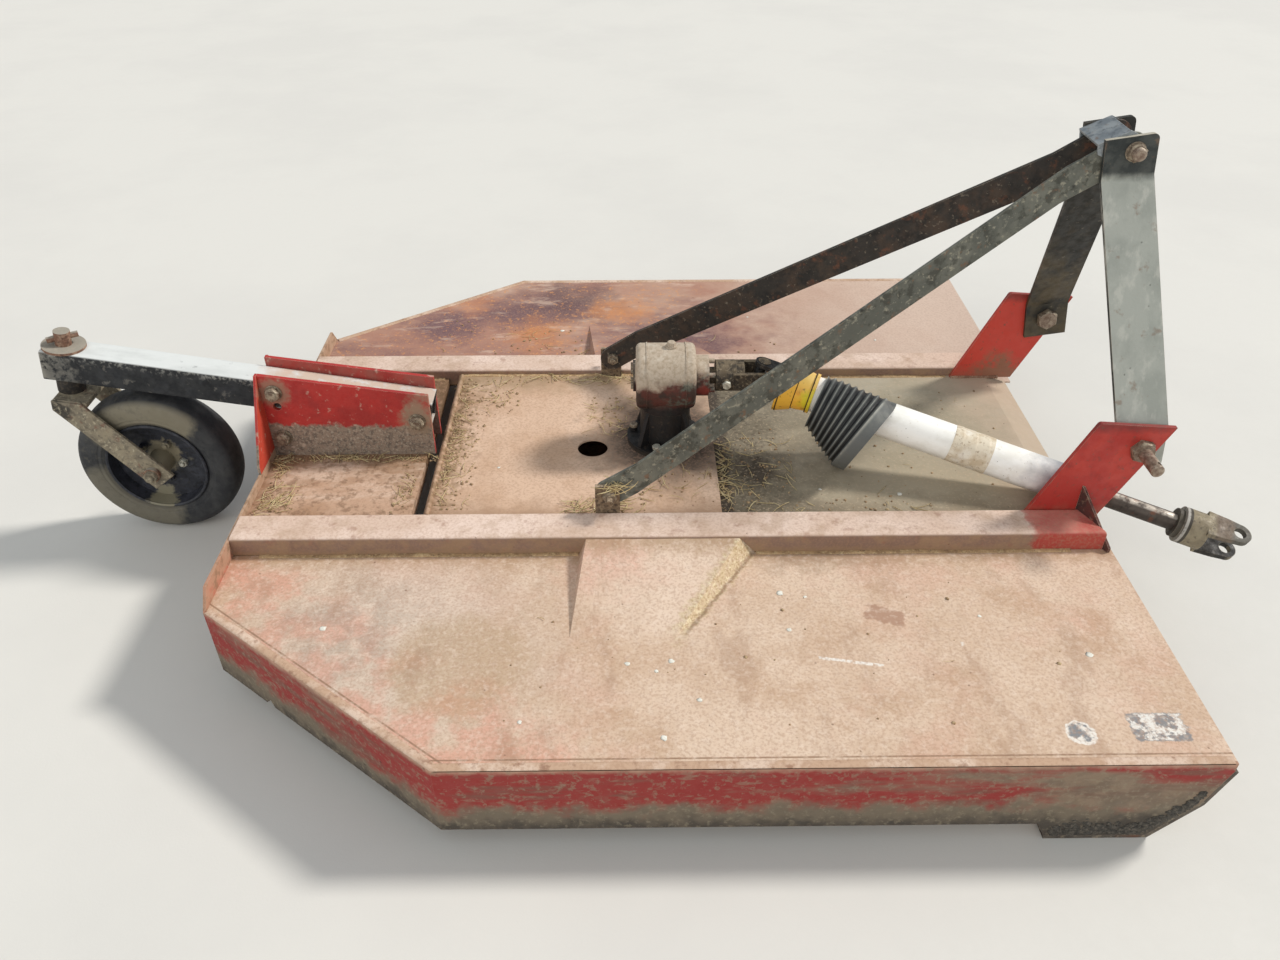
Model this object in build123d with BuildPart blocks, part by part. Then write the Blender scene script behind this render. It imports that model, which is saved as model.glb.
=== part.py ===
# Rotary mower: a six foot tractor mounted rotary cutter, in millimetres.
# The origin is on the ground in the middle of the machine. X is the way of travel, Y the left side, Z up.
import os
from math import atan2, cos, radians, sin, sqrt, tan

from build123d import *

os.makedirs("parts", exist_ok=True)

# Sizes that several pieces share.
deck_half = 965.0
deck_front = 1044.0
deck_rear = -863.0
straight_rear = -344.0
rear_half = 572.0
sheet = 5.0
band = 6.0
skin_top = 211.0
band_bottom = 45.0
rail_in = 311.0
rail_out = 397.0
rail_top = 257.0
rail_wall = 5.0
bay_top = 232.0
centre_top = 242.0
front_top = 231.0
running = 0.05
seat = 0.3
sides = (("right", -1), ("left", 1))

corner_turn = atan2(deck_half - rear_half, straight_rear - deck_rear)
skin_bottom = skin_top - sheet
inner_half = deck_half - band
inner_rear = deck_rear + band
inner_straight = straight_rear + band * tan(corner_turn / 2)
inner_rear_half = rear_half - band * tan((radians(90) - corner_turn) / 2)


def save(piece, name):
    piece.part.label = name
    export_step(piece.part, f"parts/{name}.step")


def rod(middle, along, radius, length, mode=Mode.ADD):
    """A round bar about a middle point."""
    with BuildSketch(Plane(origin=middle, z_dir=along)) as disc:
        Circle(radius)
    extrude(disc.sketch, amount=length / 2, both=True, mode=mode)


def flat_z(points, low, high, mode=Mode.ADD):
    """A plate drawn in plan, from one height to another."""
    with BuildSketch(Plane.XY.offset((low + high) / 2)) as plan:
        Polygon(*points, align=None)
    extrude(plan.sketch, amount=abs(high - low) / 2, both=True, mode=mode)


def flat_y(points, near, far, mode=Mode.ADD):
    """A plate drawn from the side as (x, z), between two y values."""
    with BuildSketch(Plane(origin=(0, (near + far) / 2, 0), x_dir=(1, 0, 0), z_dir=(0, -1, 0))) as face:
        Polygon(*points, align=None)
    extrude(face.sketch, amount=abs(far - near) / 2, both=True, mode=mode)


def flat_x(points, rear, front, mode=Mode.ADD):
    """A plate drawn from the end as (y, z), between two x values."""
    with BuildSketch(Plane(origin=((rear + front) / 2, 0, 0), x_dir=(0, 1, 0), z_dir=(1, 0, 0))) as face:
        Polygon(*points, align=None)
    extrude(face.sketch, amount=abs(front - rear) / 2, both=True, mode=mode)


def facets(corners, faces, mode=Mode.ADD):
    """A solid with flat faces, from its corners and each face's corner numbers."""
    shell = Shell([Face(Wire.make_polygon([corners[i] for i in face], close=True)) for face in faces])
    add(Solid(shell), mode=mode)


def beside(points, gap):
    """The open line through points, moved sideways to its right by gap with sharp corners."""
    moved = []
    ways = [atan2(b[1] - a[1], b[0] - a[0]) for a, b in zip(points, points[1:])]
    for number, (x, z) in enumerate(points):
        before = ways[max(number - 1, 0)]
        after = ways[min(number, len(ways) - 1)]
        middle = (before + after) / 2
        reach = gap / cos((after - before) / 2)
        moved.append((x + reach * sin(middle), z - reach * cos(middle)))
    return moved


def strip(points, thickness):
    """The outline of a flat bar bent along a centre line."""
    return beside(points, thickness / 2) + beside(points, -thickness / 2)[::-1]


# Deck sheets: the two sides with their pressed ramps beside the rails.
mitre_out = deck_front - 19.0
mitre_in = mitre_out - 39.0
ramp_height = 39.0
ramp_half = 650.0
ramp_foot = ((-110.0, rail_out), (270.0, rail_out), (90.0, ramp_half), (-120.0, ramp_half))
ramp_crest = (-95.0, 235.0)
ramp_faces = ((0, 1, 2, 3), (4, 5, 2, 3), (1, 5, 2), (0, 4, 3), (0, 1, 5, 4))
for name, side in sides:
    outline = (
        (inner_rear, rail_out),
        (inner_rear, inner_rear_half),
        (inner_straight, inner_half),
        (deck_front, inner_half),
        (deck_front, rail_in),
        (mitre_in, rail_in),
        (mitre_out, rail_out),
    )
    with BuildPart() as side_sheet:
        flat_z([(x, side * y) for x, y in outline], skin_bottom, skin_top)
        low = [(x, side * y, skin_bottom) for x, y in ramp_foot]
        high = [(x, side * rail_out, skin_top + ramp_height) for x in ramp_crest]
        base = [(x, side * y, skin_top) for x, y in ramp_foot]
        facets(base + high, ramp_faces)
        inside = [(x, y if y == rail_out else y - 2 * sheet) for x, y in ramp_foot]
        hollow = [(x, side * y, skin_bottom) for x, y in inside]
        crest = zip(ramp_crest, (2, -2))
        hollow_high = [(x + lean, side * rail_out, skin_bottom + ramp_height) for x, lean in crest]
        facets(hollow + hollow_high, ramp_faces, mode=Mode.SUBTRACT)
    save(side_sheet, f"side_sheet_{name}")

# Centre plates between the rails.
bay_front = -490.0
centre_rear = -460.0
centre_front = 205.0
fold_x = 965.0
lip_front = mitre_out
lip_drop = 17.0
flap_out = 45.0
flap_drop = 12.0
flap_near = -130.0
flap_far = -70.0
rotor_x = 86.0
bolt_hole = (-90.0, -41.0, 36.5)
shaft_hole = 46.0
with BuildPart() as rear_bay_plate:
    flat_y(
        (
            (inner_rear, bay_top - sheet),
            (bay_front - sheet, bay_top - sheet),
            (bay_front - sheet, skin_bottom),
            (bay_front, skin_bottom),
            (bay_front, bay_top),
            (inner_rear, bay_top),
        ),
        -rail_in,
        rail_in,
    )
save(rear_bay_plate, "rear_bay_plate")
with BuildPart() as centre_plate:
    flat_y(
        (
            (centre_rear, skin_bottom),
            (centre_rear + sheet, skin_bottom),
            (centre_rear + sheet, centre_top - sheet),
            (centre_front - sheet, centre_top - sheet),
            (centre_front - sheet, front_top),
            (centre_front, front_top),
            (centre_front, centre_top),
            (centre_rear, centre_top),
        ),
        -rail_in,
        rail_in,
    )
    rod((bolt_hole[0], bolt_hole[1], centre_top), (0, 0, 1), bolt_hole[2], 40, mode=Mode.SUBTRACT)
    rod((rotor_x, 0, centre_top), (0, 0, 1), shaft_hole, 40, mode=Mode.SUBTRACT)
save(centre_plate, "centre_plate")
with BuildPart() as front_plate:
    flat_y(
        (
            (centre_front - 4 * sheet, front_top - sheet),
            (fold_x, front_top - sheet),
            (lip_front, front_top - sheet - lip_drop),
            (lip_front, front_top - lip_drop),
            (fold_x, front_top),
            (centre_front - 4 * sheet, front_top),
        ),
        -rail_in,
        rail_in,
    )
    lip_top = front_top - lip_drop
    flap = (
        (lip_front - sheet, lip_top - sheet),
        (lip_front + flap_out, lip_top - sheet - flap_drop),
        (lip_front + flap_out, lip_top - flap_drop),
        (lip_front - sheet, lip_top),
    )
    flat_y(flap, flap_near, flap_far)
save(front_plate, "front_plate")

# Rails: folded channels, open below, with mitred front ends.
rail_bend = 8.0
for name, side in sides:
    middle = side * (rail_in + rail_out) / 2
    width = rail_out - rail_in
    with BuildPart() as rail:
        with BuildSketch(Plane(origin=(inner_rear, middle, 0), x_dir=(0, 1, 0), z_dir=(1, 0, 0))) as section:
            with Locations((0, (rail_top + skin_bottom) / 2)):
                Rectangle(width, rail_top - skin_bottom)
            fillet(section.vertices().group_by(Axis.Z)[-1], rail_bend)
            with Locations((0, (rail_top - rail_wall + skin_bottom) / 2)):
                Rectangle(width - 2 * rail_wall, rail_top - rail_wall - skin_bottom, mode=Mode.SUBTRACT)
        extrude(section.sketch, amount=mitre_out - inner_rear, dir=(1, 0, 0))
        corner = (
            (mitre_in, side * rail_in),
            (mitre_out, side * rail_out),
            (mitre_out + 1, side * rail_out),
            (mitre_out + 1, side * (rail_in - 1)),
            (mitre_in - (mitre_out - mitre_in) / width, side * (rail_in - 1)),
        )
        flat_z(corner, skin_bottom - 1, rail_top + 1, mode=Mode.SUBTRACT)
    save(rail, f"rail_{name}")

# Bands round the deck's edge and the shoes it slides on.
step_rear = 735.0
step_front = 755.0
shoe = 8.0
shoe_width = 60.0
sweep = ((943.0, shoe), (1015.0, 100.0), (deck_front, 190.0))
rear_band_top = 253.0
rear_band_bottom = 100.0
tear_x = -734.0
tear_half = 11.0
tear_high = 17.0
for name, side in sides:
    with BuildPart() as side_band:
        plan = (
            (deck_rear, rear_half),
            (straight_rear, deck_half),
            (deck_front, deck_half),
            (deck_front, inner_half),
            (inner_straight, inner_half),
            (inner_rear, inner_rear_half),
        )
        flat_z([(x, side * y) for x, y in plan], 0, skin_top)
        face = (
            (deck_rear - 10, band_bottom),
            (step_rear, band_bottom),
            (step_front, shoe),
            *sweep,
            (deck_front, skin_top),
            (deck_rear - 10, skin_top),
        )
        flat_y(face, side * (inner_rear_half - 5), side * (deck_half + 5), mode=Mode.INTERSECT)
        if name == "right":
            tear = (
                (tear_x - tear_half, band_bottom - 1),
                (tear_x + tear_half, band_bottom - 1),
                (tear_x + tear_half / 3, band_bottom + tear_high),
            )
            flat_y(tear, side * inner_rear_half, side * deck_half, mode=Mode.SUBTRACT)
    save(side_band, f"side_band_{name}")
    with BuildPart() as skid:
        inner_line = ((step_front, shoe), *sweep)
        outer_line = beside(inner_line, shoe)
        flat_y([*inner_line, *outer_line[::-1]], side * (deck_half - shoe_width), side * deck_half)
    save(skid, f"skid_{name}")
with BuildPart() as rear_band:
    flat_z(
        (
            (deck_rear, -rear_half),
            (deck_rear, rear_half),
            (inner_rear, inner_rear_half),
            (inner_rear, -inner_rear_half),
        ),
        rear_band_bottom,
        rear_band_top,
    )
    clip = 32.0
    flat_x(
        (
            (-rear_half, rear_band_bottom - 1),
            (rear_half, rear_band_bottom - 1),
            (rear_half, skin_top),
            (rear_half - clip, rear_band_top),
            (clip - rear_half, rear_band_top),
            (-rear_half, skin_top),
        ),
        deck_rear - 5,
        inner_rear + 5,
        mode=Mode.INTERSECT,
    )
save(rear_band, "rear_band")

# Hitch lugs with their gussets, and the lower hitch pins.
lug = 10.0
lug_face = ((870.0, front_top), (982.0, 480.0), (1147.0, 468.0), (1035.0, front_top))
hitch_x = 1087.0
hitch_z = 414.0
hitch_r = 14.0
hitch_reach = 394.0
mast = 10.0
nut_r = 22.0
nut = 16.0
gusset = 6.0
gusset_high = 320.0
gusset_reach = 15.0
linch_r = 5.5
mitre_way = atan2(mitre_out - mitre_in, rail_out - rail_in)
for name, side in sides:
    with BuildPart() as hitch_lug:
        flat_y(lug_face, side * (rail_in - lug), side * rail_in)
        fillet(hitch_lug.edges().filter_by(Axis.Y).group_by(Axis.Z)[-1], 8)
        rod((hitch_x, side * rail_in, hitch_z), (0, 1, 0), hitch_r + running, 4 * lug, mode=Mode.SUBTRACT)
    save(hitch_lug, f"hitch_lug_{name}")
    along = (sin(mitre_way), side * cos(mitre_way), 0)
    facing = (cos(mitre_way), -side * sin(mitre_way), 0)
    length = (rail_out - rail_in) / cos(mitre_way) + gusset_reach
    start = (
        mitre_in + facing[0] * gusset / 2,
        side * rail_in + facing[1] * gusset / 2,
        skin_top,
    )
    with BuildPart() as lug_gusset:
        with BuildSketch(Plane(origin=start, x_dir=along, z_dir=(along[1], -along[0], 0))) as face:
            Polygon(
                (-8, 0),
                (length, 0),
                (length, 12),
                (0, gusset_high - skin_top),
                (-8, gusset_high - skin_top),
                align=None,
            )
        extrude(face.sketch, amount=gusset / 2, both=True)
        flat_y(
            (
                (mitre_in - 4 * lug, 0),
                (mitre_out + 4 * lug, 0),
                (mitre_out + 4 * lug, 2 * gusset_high),
                (mitre_in - 4 * lug, 2 * gusset_high),
            ),
            side * (rail_in - 4 * lug),
            side * rail_in,
            mode=Mode.SUBTRACT,
        )
    save(lug_gusset, f"lug_gusset_{name}")
    with BuildPart() as hitch_pin:
        inner = rail_in - lug - mast
        middle = side * (inner - nut + hitch_reach) / 2
        rod((hitch_x, middle, hitch_z), (0, 1, 0), hitch_r, hitch_reach - inner + nut)
        rod((hitch_x, side * (inner - nut / 2), hitch_z), (0, 1, 0), nut_r, nut)
        rod((hitch_x, side * (rail_in + nut / 2), hitch_z), (0, 1, 0), nut_r, nut)
        linch_at = (hitch_x, side * (hitch_reach - 14), hitch_z)
        rod(linch_at, (0.4, 0, 0.9), linch_r, 4 * hitch_r, mode=Mode.SUBTRACT)
        chamfer(hitch_pin.faces().sort_by(Axis.Y)[0 if side < 0 else -1].edges(), 3)
    save(hitch_pin, f"hitch_pin_{name}")

# Mast: two flat bars leaning back and in, the bolt through their tops, and the top link bracket.
mast_width = 105.0
mast_lean = radians(8.4)
mast_low = -50.0
mast_knee = 42.0
tab_out = 62.0
top_x = 1014.0
top_z = 965.0
top_r = 12.5
top_along = (top_z - hitch_z) * cos(mast_lean) - (top_x - hitch_x) * sin(mast_lean)
mast_bend = top_along - 54.0
mast_end = top_along + 31.0
up = (-sin(mast_lean), 0, cos(mast_lean))
fore = (cos(mast_lean), 0, sin(mast_lean))
for name, side in sides:
    with BuildPart() as mast_bar:
        low_y = side * (rail_in - lug - mast / 2)
        high_y = side * (tab_out - mast / 2)
        line = ((low_y, mast_low), (low_y, mast_knee), (high_y, mast_bend), (high_y, mast_end))
        with BuildSketch(Plane(origin=(hitch_x, 0, hitch_z), x_dir=(0, 1, 0), z_dir=fore)) as profile:
            Polygon(*strip(line, mast), align=None)
        extrude(profile.sketch, amount=mast_width / 2, both=True)
        fillet(mast_bar.edges().filter_by(Axis.Y).group_by(Axis.Z)[-1], 12)
        rod((hitch_x, low_y, hitch_z), (0, 1, 0), hitch_r + running, 3 * mast, mode=Mode.SUBTRACT)
        rod((top_x, high_y, top_z), (0, 1, 0), top_r + running, 3 * mast, mode=Mode.SUBTRACT)
    save(mast_bar, f"mast_bar_{name}")
tab_in = tab_out - mast
bracket = 6.0
brace = 8.0
bracket_in = tab_in - bracket
web_corners = ((-73.0, 8.0), (-13.0, 35.0))
cheek_corners = ((26.0, 20.0), (26.0, -25.0), (-29.0, -27.0), (-69.0, -10.0))
web_rear, web_front = [(top_x + x, top_z + z) for x, z in web_corners]
with BuildPart() as top_link_bracket:
    cheek = (
        (web_rear[0], web_rear[1] + bracket / 2),
        (web_front[0], web_front[1] + bracket / 2),
        *[(top_x + x, top_z + z) for x, z in cheek_corners],
    )
    for side in (-1, 1):
        flat_y(cheek, side * bracket_in, side * tab_in)
    flat_y(strip((web_rear, web_front), bracket), -tab_in, tab_in)
    rod((top_x, 0, top_z), (0, 1, 0), top_r + running, 4 * tab_out, mode=Mode.SUBTRACT)
save(top_link_bracket, "top_link_bracket")
top_nut_r = 20.0
top_nut = 12.0
top_stub = 14.0
with BuildPart() as top_bolt:
    rod((top_x, 0, top_z), (0, 1, 0), top_r, 2 * (tab_out + top_nut + top_stub))
    for side in (-1, 1):
        rod((top_x, side * (tab_out + top_nut / 2), top_z), (0, 1, 0), top_nut_r, top_nut)
save(top_bolt, "top_bolt")

# Braces from the mast's top down to feet on the rails.
foot_x = -44.0
foot_z = 301.0
brace_width = 65.0
brace_flat_low = 60.0
brace_flat_high = 120.0
foot_top = foot_z + 24.0
foot_rear = foot_x - 32.0
foot_front = foot_x + 22.0
foot_bolt = 8.0
foot_nut_r = 13.0
foot_nut = 10.0
brace_low = rail_in - lug - brace / 2
brace_high = bracket_in - brace / 2
for name, side in sides:
    with BuildPart() as brace_bar:
        line = (
            (foot_x - brace_flat_low, side * brace_low),
            (foot_x + brace_flat_low, side * brace_low),
            (top_x - brace_flat_high, side * brace_high),
            (top_x + brace_flat_high / 2, side * brace_high),
        )
        flat_z(strip(line, brace), foot_z - brace_width, top_z + brace_width)
        slope = atan2(top_z - foot_z, top_x - foot_x)
        ends = ((foot_x, foot_z), (top_x, top_z))
        with BuildSketch(Plane(origin=(0, 0, 0), x_dir=(1, 0, 0), z_dir=(0, -1, 0))) as face:
            Polygon(*strip(ends, brace_width), align=None)
            with Locations(*ends):
                Circle(brace_width / 2)
        extrude(face.sketch, amount=2 * rail_in, both=True, mode=Mode.INTERSECT)
        rod((foot_x, side * brace_low, foot_z), (0, 1, 0), foot_bolt + running, 40, mode=Mode.SUBTRACT)
        rod((top_x, side * brace_high, top_z), (0, 1, 0), top_r + running, 20, mode=Mode.SUBTRACT)
    save(brace_bar, f"brace_{name}")
    with BuildPart() as brace_foot:
        face = (
            (foot_rear, centre_top),
            (foot_front, centre_top),
            (foot_front, foot_top),
            (foot_rear, foot_top),
        )
        flat_y(face, side * (rail_in - lug), side * rail_in)
        rod((foot_x, side * rail_in, foot_z), (0, 1, 0), foot_bolt, 60)
        for y in (rail_in + foot_nut / 2, rail_in - lug - brace - foot_nut / 2):
            rod((foot_x, side * y, foot_z), (0, 1, 0), foot_nut_r, foot_nut)
    save(brace_foot, f"brace_foot_{name}")

# Gearbox: the housing with its covers, on a ribbed stand over the rotor.
axis_z = 420.0
box_r = 77.0
box_rear = rotor_x - 70.0
box_front = rotor_x + 69.0
cover = 7.0
cover_r = 37.0
flange_front = box_front + 31.0
flange_r = 48.0
flange_bolts = 6
flange_circle = 39.0
flange_bolt_r = 6.0
stand_top = axis_z - box_r
stand_r = 60.0
stand_base_r = 92.0
stand_base = 14.0
rib_turns = (45, 135, 225, 315)
rib = 10.0
output_r = 30.0
output_stands = 58.0
hub_under = 6.0
shaft_top = centre_top + output_stands
hub_top = centre_top - hub_under
with BuildPart() as gearbox_housing:
    rod(((box_rear + box_front) / 2, 0, axis_z), (1, 0, 0), box_r, box_front - box_rear)
    fillet(gearbox_housing.edges(), 12)
    rod((box_rear, 0, axis_z), (1, 0, 0), cover_r, 2 * cover)
    flange_middle = (box_front + flange_front) / 2 - cover
    rod((flange_middle, 0, axis_z), (1, 0, 0), flange_r, flange_front - box_front + 2 * cover)
    rod((rotor_x, 0, (stand_top + axis_z) / 2), (0, 0, 1), stand_r + 2, axis_z - stand_top)
    for number in range(flange_bolts):
        turn = radians(360 / flange_bolts * (number + 0.5))
        y = flange_circle * cos(turn)
        z = axis_z + flange_circle * sin(turn)
        rod((flange_front + cover, y, z), (1, 0, 0), flange_bolt_r, 2 * cover)
save(gearbox_housing, "gearbox_housing")
with BuildPart() as gearbox_stand:
    rod((rotor_x, 0, centre_top + stand_base / 2), (0, 0, 1), stand_base_r, stand_base)
    rod((rotor_x, 0, (centre_top + stand_top) / 2), (0, 0, 1), stand_r, stand_top - centre_top)
    for degrees_round in rib_turns:
        way = radians(degrees_round)
        out = (cos(way), sin(way), 0)
        with BuildSketch(Plane(origin=(rotor_x, 0, 0), x_dir=out, z_dir=(sin(way), -cos(way), 0))) as web:
            Polygon(
                (stand_r - 20, centre_top),
                (stand_base_r - 2, centre_top),
                (stand_base_r - 2, centre_top + stand_base + 6),
                (stand_r, stand_top),
                (stand_r - 20, stand_top),
                align=None,
            )
        extrude(web.sketch, amount=rib / 2, both=True)
        bolt = (stand_base_r - 13) * Vector(cos(way + 0.5), sin(way + 0.5), 0)
        rod((rotor_x + bolt.X, bolt.Y, centre_top + stand_base), (0, 0, 1), 9, stand_base)
    bore = 2 * (shaft_top + seat - centre_top)
    rod((rotor_x, 0, centre_top), (0, 0, 1), output_r + running, bore, mode=Mode.SUBTRACT)
save(gearbox_stand, "gearbox_stand")

# Input yoke on the gearbox shaft, with its clamp bolt.
joint_reach = 124.0
joint_x = flange_front + joint_reach
ear_in = 26.0
ear = 11.0
ear_r = 21.0
cross_r = 9.0
cross_body_r = 15.0
cross_body_half = 16.0
input_hub_r = 37.0
input_back = 107.0
input_fore = 60.0
input_rear = joint_x - input_back
input_front = joint_x - input_fore
input_web_r = 31.0
input_web_front = joint_x - 2 * ear_r + 2
input_shaft_r = 20.0
clamp_r = 10.5
with BuildPart() as input_yoke:
    rod(((flange_front + input_front) / 2, 0, axis_z), (1, 0, 0), input_shaft_r, input_front - flange_front)
    rod(((input_rear + input_front) / 2, 0, axis_z), (1, 0, 0), input_hub_r, input_front - input_rear)
    rod(((input_front + input_web_front) / 2, 0, axis_z), (1, 0, 0), input_web_r, input_web_front - input_front)
    rod(((input_rear + input_front) / 2, 0, axis_z), (0, 1, 0), clamp_r, 2 * input_hub_r + 14)
    for side in (-1, 1):
        with BuildSketch(
            Plane(origin=(joint_x, side * (ear_in + ear / 2), axis_z), x_dir=(1, 0, 0), z_dir=(0, -1, 0))
        ) as face:
            Polygon(
                (input_front - joint_x - 8, -ear_r),
                (0, -ear_r),
                (0, ear_r),
                (input_front - joint_x - 8, ear_r),
                align=None,
            )
            Circle(ear_r)
            Circle(cross_r + running, mode=Mode.SUBTRACT)
        extrude(face.sketch, amount=ear / 2, both=True)
save(input_yoke, "input_yoke")

# The driveshaft's direction from the joint, and the two directions across it.
shaft_yaw = radians(-19.9)
shaft_pitch = radians(-11.4)
joint = (joint_x, 0.0, axis_z)
ahead = (cos(shaft_yaw) * cos(shaft_pitch), sin(shaft_yaw) * cos(shaft_pitch), sin(shaft_pitch))
flat = sqrt(ahead[0] ** 2 + ahead[2] ** 2)
over = (-ahead[2] / flat, 0.0, ahead[0] / flat)
across = tuple(over[i - 2] * ahead[i - 1] - over[i - 1] * ahead[i - 2] for i in range(3))


def on_shaft(distance, up_from=0.0, sideways=0.0):
    return tuple(joint[i] + distance * ahead[i] + up_from * over[i] + sideways * across[i] for i in range(3))


def sleeve(profile, mode=Mode.ADD):
    """A body of revolution about the driveshaft, from (distance, radius) points."""
    with BuildSketch(Plane(origin=joint, x_dir=ahead, z_dir=tuple(-c for c in across))) as half:
        Polygon(*profile, align=None)
    revolve(half.sketch, axis=Axis(joint, ahead), mode=mode)


with BuildPart() as pto_cross:
    rod(joint, (0, 1, 0), cross_body_r, 2 * cross_body_half)
    rod(joint, (0, 1, 0), cross_r, 2 * (ear_in + ear))
    rod(joint, over, cross_r, 2 * (ear_in + ear))
save(pto_cross, "pto_cross")

# Driveshaft: the outer yoke with its tube, the yellow collar, the ribbed cone and the guard tube.
hub_r = 37.0
yoke_hub = 56.0
yoke_hub_end = 76.0
tube_r = 42.0
tube_wall = 4.0
tube_end = 712.0
drive_r = 26.0
drive_wall = 5.0
drive_end = tube_end - 12.0
collar_rim = 52.0
collar_groove = 92.0
collar_end = 134.0
collar_rim_r = 67.0
collar_groove_r = 50.0
collar_end_r = 45.0
collar_wall = 4.0
cone_start = 145.0
cone_end = 260.0
cone_r = 65.0
cone_rim = 100.0
cone_ribs = 9
rib_thick = 5.0
rib_depth = 6.0
cone_wall = 4.0
cone_over_tube = 9.0
cone_turn = radians(36)
cone_lean_start = radians(5)
cone_lean_end = radians(19)
rim_band = 20.0
rim_end_r = 91.0
with BuildPart() as outer_yoke:
    for side in (-1, 1):
        middle = on_shaft(0, side * (ear_in + ear / 2))
        with BuildSketch(Plane(origin=middle, x_dir=ahead, z_dir=over)) as face:
            Polygon((0, -ear_r), (yoke_hub + 6, -ear_r), (yoke_hub + 6, ear_r), (0, ear_r), align=None)
            Circle(ear_r)
            Circle(cross_r + running, mode=Mode.SUBTRACT)
        extrude(face.sketch, amount=ear / 2, both=True)
    sleeve(
        (
            (yoke_hub, 0),
            (yoke_hub, hub_r),
            (yoke_hub_end, hub_r),
            (yoke_hub_end, drive_r),
            (drive_end, drive_r),
            (drive_end, drive_r - drive_wall),
            (yoke_hub_end + 24, drive_r - drive_wall),
            (yoke_hub_end + 24, 0),
        )
    )
save(outer_yoke, "outer_yoke")
with BuildPart() as guard_collar:
    sleeve(
        (
            (collar_rim, collar_rim_r - collar_wall),
            (collar_rim, collar_rim_r),
            (collar_rim + 6, collar_rim_r),
            (collar_groove - 1, collar_groove_r + 3),
            (collar_groove - 1, collar_groove_r - 2),
            (collar_groove + 1, collar_groove_r - 2),
            (collar_groove + 1, collar_groove_r),
            (collar_end - 8, collar_end_r),
            (collar_end - 8, collar_end_r + 3),
            (collar_end, collar_end_r + 3),
            (collar_end, drive_r),
            (collar_end - 5, drive_r),
            (collar_end - 5, collar_end_r - collar_wall),
            (collar_groove, collar_groove_r - 2 * collar_wall),
        )
    )
save(guard_collar, "guard_collar")
drop = tuple(-cos(cone_turn) * over[i] - sin(cone_turn) * across[i] for i in range(3))


def cone_ring(share, radius_less=0.0):
    """A ring of the slack cone, by its share of the way from the small end: it hangs on the tube."""
    distance = cone_start + share * (cone_end - cone_start)
    radius = cone_r + share * (cone_rim - cone_r)
    lean = cone_lean_start + share * (cone_lean_end - cone_lean_start)
    fall = radius - tube_r - cone_over_tube
    centre = tuple(a + fall * b for a, b in zip(on_shaft(distance), drop))
    normal = tuple(cos(lean) * a + sin(lean) * b for a, b in zip(ahead, drop))
    with BuildSketch(Plane(origin=centre, z_dir=normal)) as ring_sketch:
        Circle(radius - radius_less)
    return ring_sketch.sketch, centre, normal


with BuildPart() as guard_cone:
    loft([cone_ring(share, rib_depth)[0] for share in (0, 0.5, 1)], ruled=True)
    for number in range(cone_ribs):
        extrude(cone_ring(number / (cone_ribs - 1))[0], amount=rib_thick / 2, both=True)
    rim_sketch, rim_centre, rim_normal = cone_ring(1)
    rim_far = tuple(a + rim_band * b for a, b in zip(rim_centre, rim_normal))
    with BuildSketch(Plane(origin=rim_far, z_dir=rim_normal)) as rim_end:
        Circle(rim_end_r)
    loft([rim_sketch, rim_end.sketch], ruled=True)
    hollow = rib_depth + cone_wall
    loft([cone_ring(share, hollow)[0] for share in (0.06, 0.5, 1.3)], ruled=True, mode=Mode.SUBTRACT)
    rod(on_shaft(cone_start), ahead, tube_r, 2 * (cone_end - cone_start + 4 * rim_band), mode=Mode.SUBTRACT)
save(guard_cone, "guard_cone")
with BuildPart() as guard_tube:
    flange = collar_end + tube_wall
    sleeve(
        (
            (collar_end, drive_r),
            (collar_end, tube_r),
            (tube_end, tube_r),
            (tube_end, tube_r - tube_wall),
            (flange, tube_r - tube_wall),
            (flange, drive_r),
        )
    )
save(guard_tube, "guard_tube")

# Inner shaft, sliding out of the tube, with the open yoke for the tractor.
inner_r = drive_r - drive_wall - 1.0
inner_start = 300.0
shaft_shows = 273.0
end_neck = 53.0
end_reach = 62.0
yoke_start = tube_end + shaft_shows
yoke_shoulder = yoke_start + end_neck
yoke_r = 41.0
ring_r = 33.0
ring = 12.0
eye_distance = yoke_shoulder + end_reach
eye_r = 24.0
eye_bore = 13.0
end_ear_in = 24.0
end_ear = 13.0
end_roll = radians(20)
ear_up = tuple(cos(end_roll) * over[i] - sin(end_roll) * across[i] for i in range(3))
with BuildPart() as profile_shaft:
    sleeve(((inner_start, 0), (inner_start, inner_r), (yoke_start + 4, inner_r), (yoke_start + 4, 0)))
save(profile_shaft, "profile_shaft")
with BuildPart() as end_yoke:
    sleeve(
        (
            (yoke_start - ring, inner_r),
            (yoke_start - ring, ring_r),
            (yoke_start, ring_r),
            (yoke_start, yoke_r),
            (yoke_shoulder, yoke_r),
            (yoke_shoulder, 0),
            (yoke_start + 4, 0),
            (yoke_start + 4, inner_r),
        )
    )
    for side in (-1, 1):
        centre = on_shaft(eye_distance)
        middle = tuple(centre[i] + side * (end_ear_in + end_ear / 2) * ear_up[i] for i in range(3))
        with BuildSketch(Plane(origin=middle, x_dir=ahead, z_dir=ear_up)) as face:
            root = yoke_shoulder - eye_distance - 6
            Polygon(
                (root, -eye_r - 8),
                (-eye_r, -eye_r - 4),
                (0, -eye_r),
                (0, eye_r),
                (-eye_r, eye_r + 4),
                (root, eye_r + 8),
                align=None,
            )
            Circle(eye_r)
            Circle(eye_bore, mode=Mode.SUBTRACT)
        extrude(face.sketch, amount=end_ear / 2, both=True)
save(end_yoke, "end_yoke")

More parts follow.
